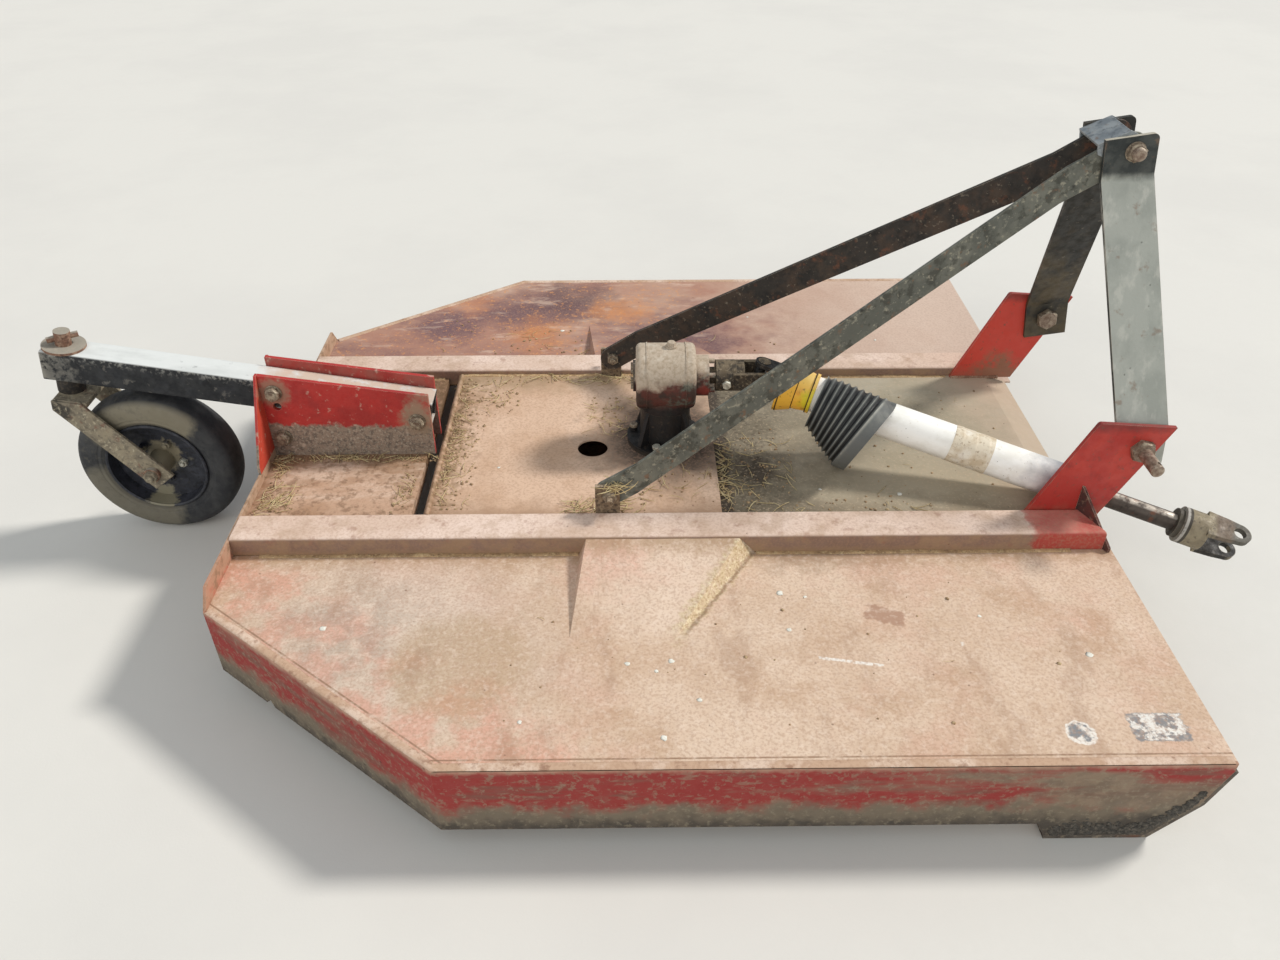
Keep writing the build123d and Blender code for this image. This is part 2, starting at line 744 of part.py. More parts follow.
# Tail: the bracket plates, the square boom and its bolts.
boom = 75.0
boom_wall = 6.0
tail = 10.0
boom_slope = atan2(0.1702, 1)
boom_rear = (-1338.0, 515.0)
boom_length = 885.0
tail_rear = inner_rear
tail_front = bay_front + 19.0
tail_low = 396.0
tail_high = 454.0
gusset_foot = 157.0
gusset_foot_top = rear_band_top + 20.0
u_way = (cos(boom_slope), 0, -sin(boom_slope))
v_way = (sin(boom_slope), 0, cos(boom_slope))
tail_bolts = ((tail_rear + 30, 408.0), (tail_rear + 29, 285.0), (tail_front - 33, 327.0))
spare_hole = (tail_rear + 31, 370.0)
tail_bolt_r = 10.0
tail_nut_r = 16.0
tail_nut = 12.0
tail_out = boom / 2 + tail
for name, side in sides:
    with BuildPart() as tail_bracket:
        face = ((tail_rear, bay_top), (tail_front, bay_top), (tail_front, tail_low), (tail_rear, tail_high))
        flat_y(face, side * boom / 2, side * tail_out)
        for x, z in (*tail_bolts, spare_hole):
            rod((x, side * boom / 2, z), (0, 1, 0), tail_bolt_r, 6 * tail, mode=Mode.SUBTRACT)
    save(tail_bracket, f"tail_bracket_{name}")
    with BuildPart() as tail_gusset:
        face = (
            (boom / 2, tail_high),
            (tail_out + 3, tail_high),
            (gusset_foot, gusset_foot_top),
            (gusset_foot, rear_band_top),
            (boom / 2, rear_band_top),
        )
        flat_x([(side * y, z) for y, z in face], deck_rear, inner_rear)
    save(tail_gusset, f"tail_gusset_{name}")
boom_middle = tuple(
    a + boom_length / 2 * b - boom / 2 * c for a, b, c in zip((boom_rear[0], 0, boom_rear[1]), u_way, v_way)
)
pin_top = (-1298.0, 0.0, 508.2)
pin_r = 17.5
with BuildPart() as tail_boom:
    with BuildSketch(Plane(origin=boom_middle, x_dir=(0, 1, 0), z_dir=u_way)) as section:
        Rectangle(boom - 2 * seat, boom)
        fillet(section.vertices(), 6)
        Rectangle(boom - 2 * seat - 2 * boom_wall, boom - 2 * boom_wall, mode=Mode.SUBTRACT)
    extrude(section.sketch, amount=boom_length / 2, both=True)
    for x, z in (*tail_bolts, spare_hole):
        rod((x, 0, z), (0, 1, 0), tail_bolt_r, 4 * tail_out, mode=Mode.SUBTRACT)
    rod(pin_top, v_way, pin_r + running, 4 * boom, mode=Mode.SUBTRACT)
save(tail_boom, "tail_boom")
with BuildPart() as boom_bolts:
    for x, z in tail_bolts:
        rod((x, 0, z), (0, 1, 0), tail_bolt_r - running, 2 * (tail_out + tail_nut + 6))
        for side in (-1, 1):
            rod((x, side * (tail_out + tail_nut / 2), z), (0, 1, 0), tail_nut_r, tail_nut)
save(boom_bolts, "boom_bolts")

# Caster: the pin through the boom, the crown and the fork, which swivel together.
washer_r = 46.5
washer = 6.0
pin_above = 40.0
cross_bolt_r = 7.0
cross_bolt_length = 66.0
cross_bolt_way = (0.86, 0.5, 0)
crown_bush_r = 30.0
crown_bush = 21.0
crown = 30.0
crown_length = 76.0
crown_ahead = 18.0
fork_in = 58.0
fork = 8.0
fork_width = 65.0
fork_gap = crown_bush + 17.0
fork_beyond = 35.0
wheel_x = -1160.0
wheel_z = 193.0
axle_r = 12.0
axle_nut_r = 19.0
axle_nut = 12.0


def on_pin(along, forward=0.0, y=0.0):
    """A point in the caster's own directions: along the pin, then toward the front."""
    return tuple(a + along * b + forward * c + y * e for a, b, c, e in zip(pin_top, v_way, u_way, (0, 1, 0)))


pin_under = boom + crown_bush + crown
crown_middle = -boom - crown_bush - crown / 2
with BuildPart() as caster_pin:
    rod(on_pin((pin_above - pin_under) / 2), v_way, pin_r, pin_above + pin_under)
    rod(on_pin(seat + washer / 2), v_way, washer_r, washer)
    rod(on_pin(0.6 * pin_above), cross_bolt_way, cross_bolt_r, cross_bolt_length)
save(caster_pin, "caster_pin")
with BuildPart() as caster_crown:
    block_plane = Plane(origin=on_pin(crown_middle, crown_ahead), x_dir=(0, 1, 0), z_dir=v_way)
    with BuildSketch(block_plane) as block:
        Rectangle(2 * fork_in, crown_length)
    extrude(block.sketch, amount=crown / 2, both=True)
    rod(on_pin(-boom - (seat + crown_bush) / 2), v_way, crown_bush_r, crown_bush - seat)
    rod(on_pin(-boom), v_way, pin_r, 4 * (crown_bush + crown), mode=Mode.SUBTRACT)
save(caster_crown, "caster_crown")
fork_top = on_pin(crown_middle)
fork_way = atan2(wheel_z - fork_top[2], wheel_x - fork_top[0])
fork_line = (
    (fork_top[0] - boom * cos(fork_way), fork_top[2] - boom * sin(fork_way)),
    (wheel_x + fork_beyond * cos(fork_way), wheel_z + fork_beyond * sin(fork_way)),
)
for name, side in sides:
    with BuildPart() as fork_arm:
        flat_y(strip(fork_line, fork_width), side * fork_in, side * (fork_in + fork))
        cut = -boom - fork_gap
        wide = 3 * boom
        above = [on_pin(a, b) for a, b in ((wide, -wide), (wide, wide), (cut, wide), (cut, -wide))]
        flat_y([(x, z) for x, y, z in above], 0, side * 2 * fork_in, mode=Mode.SUBTRACT)
        rod((wheel_x, side * fork_in, wheel_z), (0, 1, 0), axle_r, 6 * fork, mode=Mode.SUBTRACT)
    save(fork_arm, f"fork_arm_{name}")
with BuildPart() as wheel_axle:
    rod((wheel_x, 0, wheel_z), (0, 1, 0), axle_r, 2 * (fork_in + fork + axle_nut + 6))
    for side in (-1, 1):
        rod((wheel_x, side * (fork_in + fork + axle_nut / 2), wheel_z), (0, 1, 0), axle_nut_r, axle_nut)
save(wheel_axle, "wheel_axle")

# Tail wheel: the tyre on a rim with a tube through its middle.
wheel_r = 193.0
wheel_half = 45.0
rim_r = 121.0
rim_half = 38.0
rim_wall = 6.0
rim_disc = 4.0
hub_half = 54.0
wheel_hub_r = 30.0
tyre_half = (
    (wheel_half - 9, rim_r),
    (wheel_half, rim_r + 14),
    (wheel_half, wheel_r - 28),
    (wheel_half - 7, wheel_r - 9),
    (wheel_half - 25, wheel_r - 2),
    (0, wheel_r),
)
rim_right = (
    (-rim_half, rim_r),
    (-rim_half, rim_r - rim_wall),
    (-rim_disc, rim_r - rim_wall - rim_disc),
    (-rim_disc, wheel_hub_r),
    (-hub_half, wheel_hub_r),
    (-hub_half, axle_r + running),
)


def wheel_ring(profile, mode=Mode.ADD):
    """A body of revolution about the axle, from (y, radius) points."""
    with BuildSketch(Plane(origin=(wheel_x, 0, wheel_z), x_dir=(0, 1, 0), z_dir=(1, 0, 0))) as half:
        Polygon(*profile, align=None)
    revolve(half.sketch, axis=Axis((wheel_x, 0, wheel_z), (0, 1, 0)), mode=mode)


with BuildPart() as tail_tyre:
    wheel_ring([(-y, r) for y, r in tyre_half] + list(tyre_half[-2::-1]))
save(tail_tyre, "tail_tyre")
with BuildPart() as tail_rim:
    wheel_ring([*rim_right, *[(-y, r) for y, r in rim_right[::-1]]])
save(tail_rim, "tail_rim")

# Rotor under the deck: the pan on its shaft, the two bolts and the swinging blades.
pan_r = 280.0
pan_top = 128.0
pan = 10.0
rotor_hub_r = 40.0
blade_top = 108.0
blade = 12.0
blade_half = 50.0
blade_pivot = 181.0
blade_tip = 905.0
blade_bolt = 16.0
blade_head_r = 26.0
blade_head = 12.0
with BuildPart() as rotor_pan:
    rod((rotor_x, 0, pan_top - pan / 2), (0, 0, 1), pan_r, pan)
    rod((rotor_x, 0, (hub_top + pan_top - pan) / 2), (0, 0, 1), rotor_hub_r, hub_top - pan_top + pan)
    rod((rotor_x, 0, (hub_top + shaft_top) / 2), (0, 0, 1), output_r, shaft_top - hub_top)
    for side in (-1, 1):
        rod((rotor_x, side * blade_pivot, pan_top), (0, 0, 1), blade_bolt, 4 * pan, mode=Mode.SUBTRACT)
save(rotor_pan, "rotor_pan")
with BuildPart() as blade_bolts:
    bolt_top = pan_top + pan
    bolt_bottom = blade_top - blade - blade_head / 2
    for side in (-1, 1):
        y = side * blade_pivot
        rod((rotor_x, y, (bolt_top + bolt_bottom) / 2), (0, 0, 1), blade_bolt, bolt_top - bolt_bottom)
        rod((rotor_x, y, blade_top - blade - seat - blade_head / 2), (0, 0, 1), blade_head_r, blade_head)
save(blade_bolts, "blade_bolts")
for name, side in (("blade_a", -1), ("blade_b", 1)):
    with BuildPart() as blade_bar:
        face = (
            (rotor_x - blade_half, side * blade_pivot),
            (rotor_x + blade_half, side * blade_pivot),
            (rotor_x + blade_half, side * blade_tip),
            (rotor_x - blade_half, side * blade_tip),
        )
        flat_z(face, blade_top - blade, blade_top)
        rod((rotor_x, side * blade_pivot, blade_top - blade / 2), (0, 0, 1), blade_half, blade)
        eye = (rotor_x, side * blade_pivot, blade_top)
        rod(eye, (0, 0, 1), blade_bolt + running, 4 * blade, mode=Mode.SUBTRACT)
    save(blade_bar, name)
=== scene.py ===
import math
import bpy
import numpy as np
from mathutils import Matrix, Vector


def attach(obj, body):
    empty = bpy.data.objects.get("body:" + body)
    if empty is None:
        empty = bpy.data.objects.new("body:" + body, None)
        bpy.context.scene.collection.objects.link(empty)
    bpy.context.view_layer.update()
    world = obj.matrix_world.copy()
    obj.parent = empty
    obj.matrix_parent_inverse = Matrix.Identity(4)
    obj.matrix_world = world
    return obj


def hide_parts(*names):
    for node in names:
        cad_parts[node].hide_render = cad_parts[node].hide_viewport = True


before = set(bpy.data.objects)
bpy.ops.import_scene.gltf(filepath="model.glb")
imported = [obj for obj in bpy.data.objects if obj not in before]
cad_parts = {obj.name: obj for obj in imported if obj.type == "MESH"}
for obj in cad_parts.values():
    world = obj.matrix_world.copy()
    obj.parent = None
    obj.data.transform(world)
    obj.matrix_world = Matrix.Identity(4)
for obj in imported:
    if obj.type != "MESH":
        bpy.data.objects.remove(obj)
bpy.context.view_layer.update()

# Viewpoint, floor and light: the camera stands at the mower's right side and looks down at it, on a plain
# pale floor. One lamp shines from the front left, a weaker and much wider one from the camera's side,
# and the sky is even.
scene = bpy.context.scene
scene.view_settings.view_transform = "Standard"
focal_px, frame_px, sensor_mm = 1000.4, 1280, 36.0
camera_data = bpy.data.cameras.new("camera")
camera_data.sensor_width = sensor_mm
camera_data.lens = focal_px / frame_px * sensor_mm
camera = bpy.data.objects.new("camera", camera_data)
scene.collection.objects.link(camera)
pitch, yaw, roll = math.radians(36.451), math.radians(0.561), math.radians(-0.0815)
look = Matrix.Rotation(-yaw, 4, "Z") @ Matrix.Rotation(math.radians(90) - pitch, 4, "X")
camera_at = Matrix.Translation((0.005, -2.0458, 1.6248))
camera.matrix_world = camera_at @ look @ Matrix.Rotation(roll, 4, "Z")
scene.camera = camera
lamps = (("key", 2.7, 9, (0.76, 0.26, 0.70)), ("fill", 0.95, 50, (-0.30, -0.80, 0.50)))
for name, energy, width, toward in lamps:
    lamp_data = bpy.data.lights.new(name, "SUN")
    lamp_data.energy = energy
    lamp_data.angle = math.radians(width)
    lamp_data.color = (1.0, 0.965, 0.91)
    lamp = bpy.data.objects.new(name, lamp_data)
    scene.collection.objects.link(lamp)
    lamp.rotation_euler = Vector(toward).to_track_quat("Z", "Y").to_euler()
sky = bpy.data.worlds.new("sky")
scene.world = sky
sky.use_nodes = True
sky_tree = sky.node_tree
sky_light = sky_tree.nodes["Background"]
sky_light.inputs["Color"].default_value = (0.88, 0.94, 1.0, 1.0)
sky_light.inputs["Strength"].default_value = 0.46
# What the camera sees behind the floor is a plain pale backdrop, which adds no light.
backdrop = sky_tree.nodes.new("ShaderNodeBackground")
backdrop.inputs["Color"].default_value = (0.80, 0.79, 0.77, 1.0)
ray = sky_tree.nodes.new("ShaderNodeLightPath")
seen = sky_tree.nodes.new("ShaderNodeMath")
seen.operation = "MAXIMUM"
shown = sky_tree.nodes.new("ShaderNodeMixShader")
sky_tree.links.new(ray.outputs["Is Camera Ray"], seen.inputs[0])
sky_tree.links.new(ray.outputs["Is Transmission Ray"], seen.inputs[1])
sky_tree.links.new(seen.outputs[0], shown.inputs[0])
sky_tree.links.new(sky_light.outputs[0], shown.inputs[1])
sky_tree.links.new(backdrop.outputs[0], shown.inputs[2])
sky_tree.links.new(shown.outputs[0], sky_tree.nodes["World Output"].inputs["Surface"])


def shade(colour):
    """A colour from its screen numbers s of 255: ((s / 255 + 0.055) / 1.055) to the power 2.4."""
    return (*(float(v) for v in ((np.array(colour) / 255 + 0.055) / 1.055) ** 2.4), 1.0)


def patches(colour, amount, size, low=0.45, high=0.6, *where, stretch=(1, 1, 1)):
    """A layer in patches of a size in metres, laid where its noise rises from low to high."""
    return colour, amount, where, "patches", size, low, high, stretch


def finish(
    name, ground, layers, rough=(0.7, 0.92), metal=0.0, grain=((0.004, 0.0002),), edge=None, rounded=0.0012,
):
    """A finish built up as the real one was: a ground colour, then layers, each kept in place by its masks.

    A mask is how far along "x", "y", "z" or a direction, how much a face looks "up", "right", "fore" or in
    the direction after "facing", how far from the point after "near", or the mesh's own "mark". Two numbers
    follow, mapped to 0 and 1, then how ragged the border is and the size of its noise. grain lists the
    sizes and heights of the relief, edge is the colour and most of the wear along edges, and rounded is
    the radius they are shown with.
    """
    noise_step, rough_shift, grain_shift = 3.7, 9.1, 5.3
    made = bpy.data.materials.new(name)
    made.use_nodes = True
    tree = made.node_tree
    shader = tree.nodes["Principled BSDF"]
    place = tree.nodes.new("ShaderNodeTexCoord").outputs["Object"]
    facing = tree.nodes.new("ShaderNodeNewGeometry").outputs["Normal"]
    named = {
        "x": (place, (1, 0, 0)), "y": (place, (0, 1, 0)), "z": (place, (0, 0, 1)),
        "up": (facing, (0, 0, 1)), "right": (facing, (0, -1, 0)), "fore": (facing, (1, 0, 0)),
    }

    def feed(socket, value):
        if isinstance(value, bpy.types.NodeSocket):
            tree.links.new(value, socket)
        else:
            socket.default_value = value

    def ranged(value, low, high, to_low=0.0, to_high=1.0):
        fit = tree.nodes.new("ShaderNodeMapRange")
        for number, amount in enumerate((value, low, high, to_low, to_high)):
            feed(fit.inputs[number], amount)
        return fit.outputs[0]

    def sums(operation, first, second):
        step = tree.nodes.new("ShaderNodeMath")
        step.operation = operation
        feed(step.inputs[0], first)
        feed(step.inputs[1], second)
        return step.outputs[0]

    def vectors(operation, first, second, output=0):
        step = tree.nodes.new("ShaderNodeVectorMath")
        step.operation = operation
        feed(step.inputs[0], first)
        feed(step.inputs[1], second)
        return step.outputs[output]

    def mixed(share, under, over):
        mix = tree.nodes.new("ShaderNodeMix")
        mix.data_type = "RGBA"
        for number, value in ((0, share), (6, under), (7, over)):
            feed(mix.inputs[number], value)
        return mix.outputs[2]

    def noise(size, stretch=(1, 1, 1), detail=5.0, shift=0.0):
        cloud = tree.nodes.new("ShaderNodeTexNoise")
        cloud.inputs["Scale"].default_value = 1.0 / size
        cloud.inputs["Detail"].default_value = detail
        cloud.inputs["Roughness"].default_value = 0.62
        moved = vectors("ADD", vectors("MULTIPLY", place, stretch), (shift, 0.7 * shift, 0.3 * shift))
        feed(cloud.inputs["Vector"], moved)
        return cloud.outputs["Fac"]

    def speckled(size, share, low, high):
        cells = tree.nodes.new("ShaderNodeTexVoronoi")
        cells.inputs["Scale"].default_value = 1.0 / size
        shaken = tree.nodes.new("ShaderNodeTexNoise")
        shaken.inputs["Scale"].default_value = 9.0 / size
        feed(shaken.inputs["Vector"], place)
        pushed = vectors("SUBTRACT", shaken.outputs["Color"], (0.5, 0.5, 0.5))
        pushed = vectors("MULTIPLY", pushed, (0.14 * size,) * 3)
        feed(cells.inputs["Vector"], vectors("ADD", place, pushed))
        picked = ranged(cells.outputs["Color"], 1 - share, 1 - share + 0.02)
        return sums("MULTIPLY", picked, ranged(cells.outputs["Distance"], high, low))

    def bordered(reach, low, high, ragged=0.0, size=0.05):
        if ragged:
            reach = sums("ADD", reach, ranged(noise(size), 0.3, 0.7, -ragged, ragged))
        return ranged(reach, low, high)

    def masked(kind, *limits):
        if not isinstance(kind, str):
            reach = vectors("DOT_PRODUCT", place, kind, 1)
        elif kind in named:
            reach = vectors("DOT_PRODUCT", *named[kind], 1)
        elif kind == "mark":
            mark = tree.nodes.new("ShaderNodeAttribute")
            mark.attribute_name = "mark"
            reach = mark.outputs["Fac"]
        else:
            target, *limits = limits
            operation, source = ("DISTANCE", place) if kind == "near" else ("DOT_PRODUCT", facing)
            reach = vectors(operation, source, target, 1)
        return bordered(reach, *limits)

    colour = shade(ground)
    for number, (tint, amount, where, kind, *spread) in enumerate(layers):
        cover = 1.0
        if kind == "specks":
            cover = speckled(*spread)
        elif kind == "patches":
            size, low, high, stretch = spread
            cover = ranged(noise(size, stretch, shift=noise_step * number), low, high)
        for mask in where:
            cover = sums("MULTIPLY", cover, masked(*mask))
        colour = mixed(sums("MULTIPLY", cover, amount), colour, shade(tint))
    relief_under = None
    if rounded:
        bevel = tree.nodes.new("ShaderNodeBevel")
        bevel.samples = 4
        bevel.inputs["Radius"].default_value = rounded
        relief_under = bevel.outputs["Normal"]
        if edge:
            sharp = ranged(vectors("DOT_PRODUCT", facing, relief_under, 1), 0.985, 0.86)
            sharp = sums("MULTIPLY", sharp, ranged(noise(0.03), 0.38, 0.58, 0.1, edge[1]))
            colour = mixed(sharp, colour, shade(edge[0]))
    feed(shader.inputs["Base Color"], colour)
    feed(shader.inputs["Roughness"], ranged(noise(0.02, shift=rough_shift), 0.35, 0.65, *rough))
    shader.inputs["Metallic"].default_value = metal
    for size, height in grain:
        relief = tree.nodes.new("ShaderNodeBump")
        relief.inputs["Strength"].default_value = 1.0
        relief.inputs["Distance"].default_value = height
        feed(relief.inputs["Height"], noise(size, detail=3.0, shift=grain_shift))
        if relief_under:
            feed(relief.inputs["Normal"], relief_under)
        relief_under = relief.outputs["Normal"]
    feed(shader.inputs["Normal"], relief_under)
    return made


floor_grey = finish("floor_grey", (222, 220, 214), [patches((214, 212, 207), 0.5, 1.4)], rounded=0.0)
# From below the floor is clear, so that the mower's underside can be looked at.
floor_tree = floor_grey.node_tree
floor_end = floor_tree.nodes["Material Output"].inputs["Surface"]
floor_side = floor_tree.nodes.new("ShaderNodeMixShader")
under_floor = floor_tree.nodes.new("ShaderNodeNewGeometry").outputs["Backfacing"]
clear = floor_tree.nodes.new("ShaderNodeBsdfTransparent").outputs[0]
for number, source in enumerate((under_floor, floor_end.links[0].from_socket, clear)):
    floor_tree.links.new(source, floor_side.inputs[number])
floor_tree.links.new(floor_side.outputs[0], floor_end)
floor_mesh = bpy.data.meshes.new("floor")
floor_half = 25
floor_corners = [(x * floor_half, y * floor_half, 0) for x, y in ((-1, -1), (1, -1), (1, 1), (-1, 1))]
floor_mesh.from_pydata(floor_corners, [], [(0, 1, 2, 3)])
floor_mesh.materials.append(floor_grey)
floor = bpy.data.objects.new("floor", floor_mesh)
scene.collection.objects.link(floor)

# Deck sheets: folded steel plate, once red, now faded to pink under a crust of dried dust.
# The far side has rusted to purple and orange where water lay, and grass and soil fill the corners.


def wash(colour, amount, *where):
    """A layer of a finish that lies evenly wherever its masks leave room."""
    return colour, amount, where, "wash"


def specks(colour, amount, size, share, low, high):
    """A layer of specks in a share of the cells of a size, each fading from low to high off its middle."""
    return colour, amount, (), "specks", size, share, low, high


def dress(made, *nodes):
    """Gives CAD pieces their finish."""
    for name in nodes:
        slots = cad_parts[name].data.materials
        slots.clear()
        slots.append(made)


dust_pale = (226, 203, 181)
dust_tan = (205, 176, 150)
white_fleck = (240, 236, 228)
brown_dots = specks((120, 88, 70), 0.7, 0.03, 0.25, 0.04, 0.1)
dusty_speckle = [
    patches((172, 136, 112), 0.42, 0.006, 0.47, 0.6),
    brown_dots,
    specks(white_fleck, 0.9, 0.13, 0.2, 0.03, 0.055),
]
straight_groove = [("y", -0.9395, -0.941), ("y", -0.9445, -0.943)]
oblique_out = (-0.6040, -0.7970, 0.0)
oblique_groove = [(oblique_out, 0.951, 0.9525), (oblique_out, 0.956, 0.9545)]
pile_across = (0.842, -0.539, 0.0)
pile_down = (-0.539, -0.842, 0.0)
flake_long, flake_wide = (0.93, -0.37, 0.0), (0.37, 0.93, 0.0)
scratch_long, scratch_wide = (0.983, -0.188, 0.0), (0.188, 0.983, 0.0)
near_sheet = finish("near_sheet", dust_tan, [
    patches(dust_pale, 0.7, 0.34, 0.42, 0.6),
    patches((208, 158, 138), 0.4, 0.2, 0.5, 0.68),
    patches((186, 152, 122), 0.5, 0.12, 0.52, 0.66),
    wash((212, 197, 182), 0.6, ("near", (-0.48, -0.68, 0.21), 0.42, 0.12, 0.05, 0.08)),
    wash((232, 210, 190), 0.6, ("near", (0.04, -0.5, 0.23), 0.19, 0.1, 0.03, 0.06)),
    patches((216, 152, 134), 0.4, 0.05, 0.3, 0.5, ("near", (-0.05, -0.45, 0.24), 0.13, 0.03, 0.04, 0.06)),
    patches((214, 148, 126), 0.55, 0.09, 0.42, 0.55, (oblique_out, 0.76, 0.84, 0.05, 0.06)),
    patches((158, 140, 126), 0.5, 0.06, 0.38, 0.56, ("near", (-0.56, -0.62, 0.21), 0.2, 0.06, 0.06, 0.09)),
    wash((176, 146, 108), 0.45, ("near", (-0.33, -0.72, 0.21), 0.15, 0.11, 0.02, 0.06)),
    wash((160, 128, 92), 0.6, ("y", -0.45, -0.405, 0.02, 0.03)),
    wash(
        (150, 124, 100), 0.7, ("y", -0.47, -0.42, 0.03, 0.05), ("x", 0.22, 0.3, 0.03),
        ("x", 0.62, 0.45, 0.04),
    ),
    patches((158, 124, 100), 0.35, 0.09, 0.56, 0.66, stretch=(1, 0.4, 1)),
    # A strip of chaff, with darker and paler straws in it and one dark streak.
    wash(
        (208, 188, 150), 0.8, (pile_across, 0.398, 0.416, 0.014, 0.02),
        (pile_across, 0.452, 0.436, 0.01, 0.02), (pile_down, 0.53, 0.45, 0.03, 0.03),
    ),
    patches(
        (160, 132, 92), 0.7, 0.006, 0.5, 0.6, (pile_across, 0.402, 0.418, 0.012, 0.02),
        (pile_across, 0.45, 0.438, 0.008, 0.02), (pile_down, 0.52, 0.45, 0.03, 0.03),
    ),
    patches(
        (238, 226, 190), 0.7, 0.008, 0.55, 0.62, (pile_across, 0.402, 0.416, 0.012, 0.02),
        (pile_across, 0.448, 0.438, 0.008, 0.02), (pile_down, 0.52, 0.45, 0.03, 0.03),
    ),
    wash(
        (122, 96, 70), 0.7, (pile_across, 0.434, 0.438, 0.003, 0.02),
        (pile_across, 0.446, 0.441, 0.003, 0.02), (pile_down, 0.5, 0.46, 0.01, 0.03),
    ),
    # A brown flake, a white scratch, and a grey patch under torn white remains.
    wash(
        (176, 140, 118), 0.95, (flake_long, 0.655, 0.661, 0.009, 0.02),
        (flake_long, 0.737, 0.731, 0.009, 0.02), (flake_wide, -0.389, -0.385, 0.007, 0.02),
        (flake_wide, -0.343, -0.347, 0.007, 0.02),
    ),
    patches(
        white_fleck, 0.9, 0.01, 0.4, 0.5, (scratch_long, 0.487, 0.49, 0.004),
        (scratch_long, 0.613, 0.61, 0.004), (scratch_wide, -0.633, -0.631, 0.0015),
        (scratch_wide, -0.624, -0.626, 0.0015),
    ),
    wash(
        (120, 126, 132), 0.85, ("x", 0.888, 0.892, 0.004, 0.01), ("x", 0.992, 0.986, 0.007, 0.01),
        ("y", -0.916, -0.913, 0.003, 0.01), ("y", -0.85, -0.854, 0.004, 0.01),
    ),
    patches(
        white_fleck, 0.9, 0.018, 0.47, 0.53, ("x", 0.89, 0.894, 0.004, 0.01),
        ("x", 0.99, 0.984, 0.006, 0.01), ("y", -0.914, -0.911, 0.003, 0.01),
        ("y", -0.852, -0.856, 0.004, 0.01),
    ),
    # A white spot with a dark middle, and dirt in the two grooves beside the seam.
    wash(white_fleck, 0.85, ("near", (0.797, -0.895, 0.211), 0.028, 0.026, 0.003, 0.015)),
    patches(
        (104, 110, 118), 0.85, 0.02, 0.4, 0.5, ("near", (0.797, -0.895, 0.211), 0.023, 0.021, 0.004, 0.015),
    ),
    patches((140, 108, 84), 0.85, 0.05, 0.3, 0.45, *straight_groove),
    patches((140, 108, 84), 0.85, 0.05, 0.3, 0.45, *oblique_groove),
    patches((234, 214, 196), 0.35, 0.014, 0.5, 0.64),
    *dusty_speckle,
], grain=((0.18, 0.007), (0.03, 0.0012), (0.008, 0.0006)))
far_sheet = finish("far_sheet", (186, 150, 130), [
    patches((204, 176, 156), 0.6, 0.35),
    patches((166, 116, 98), 0.8, 0.3, 0.34, 0.56, ("x", 0.5, 0.2, 0.1)),
    patches((128, 94, 92), 0.85, 0.24, 0.46, 0.6, ("x", 0.5, 0.25, 0.1), stretch=(0.5, 1, 1)),
    wash((100, 74, 84), 0.75, ("near", (-0.555, 0.661, 0.21), 0.17, 0.03, 0.07, 0.1)),
    wash((98, 72, 82), 0.8, ("near", (0.178, 0.558, 0.21), 0.16, 0.03, 0.07, 0.1)),
    wash((88, 64, 70), 0.75, ("near", (-0.186, 0.824, 0.21), 0.19, 0.04, 0.07, 0.08)),
    wash((104, 78, 84), 0.7, ("near", (-0.36, 0.74, 0.21), 0.15, 0.02, 0.07, 0.1)),
    wash((196, 128, 78), 0.8, ("near", (-0.265, 0.594, 0.21), 0.13, 0.01, 0.06, 0.08)),
    wash((206, 136, 80), 0.75, ("near", (-0.029, 0.753, 0.21), 0.11, 0.01, 0.05, 0.06)),
    wash((198, 132, 92), 0.6, ("near", (-0.5, 0.8, 0.21), 0.1, 0.01, 0.05, 0.06)),
    patches((216, 150, 92), 0.6, 0.012, 0.57, 0.64, ("x", 0.25, 0.1, 0.1)),
    patches((220, 192, 172), 0.5, 0.06, 0.56, 0.66, ("x", 0.4, 0.2, 0.1), stretch=(0.4, 1, 1)),
    wash((224, 206, 190), 0.6, ("x", 0.3, 0.9, 0.12, 0.2)),
    patches((172, 140, 120), 0.3, 0.006, 0.47, 0.6),
    brown_dots,
], grain=((0.2, 0.006), (0.012, 0.0005)))
middle_sheet = finish("middle_sheet", (216, 184, 158), [
    patches((192, 156, 126), 0.6, 0.2),
    patches((226, 196, 172), 0.6, 0.12, 0.5, 0.64, stretch=(1, 0.5, 1)),
    wash((140, 104, 72), 0.5, ("x", -0.4, -0.47, 0.03, 0.06)),
    patches((132, 104, 72), 0.8, 0.02, 0.42, 0.56, ("x", -0.37, -0.43, 0.04, 0.05)),
    wash((144, 122, 88), 0.7, ("y", 0.2, 0.3, 0.04, 0.06)),
    wash((150, 118, 92), 0.5, ("y", -0.24, -0.3, 0.03, 0.06)),
    # Darker round the gearbox stand: old oil, and painted shade under the gearbox.
    wash((104, 86, 70), 0.8, ("near", (0.1, 0.0, 0.24), 0.24, 0.12, 0.05, 0.05)),
    wash((62, 52, 46), 0.8, ("near", (0.09, 0.0, 0.24), 0.16, 0.1, 0.02, 0.04)),
    *dusty_speckle,
], grain=((0.2, 0.004), (0.01, 0.0005)))
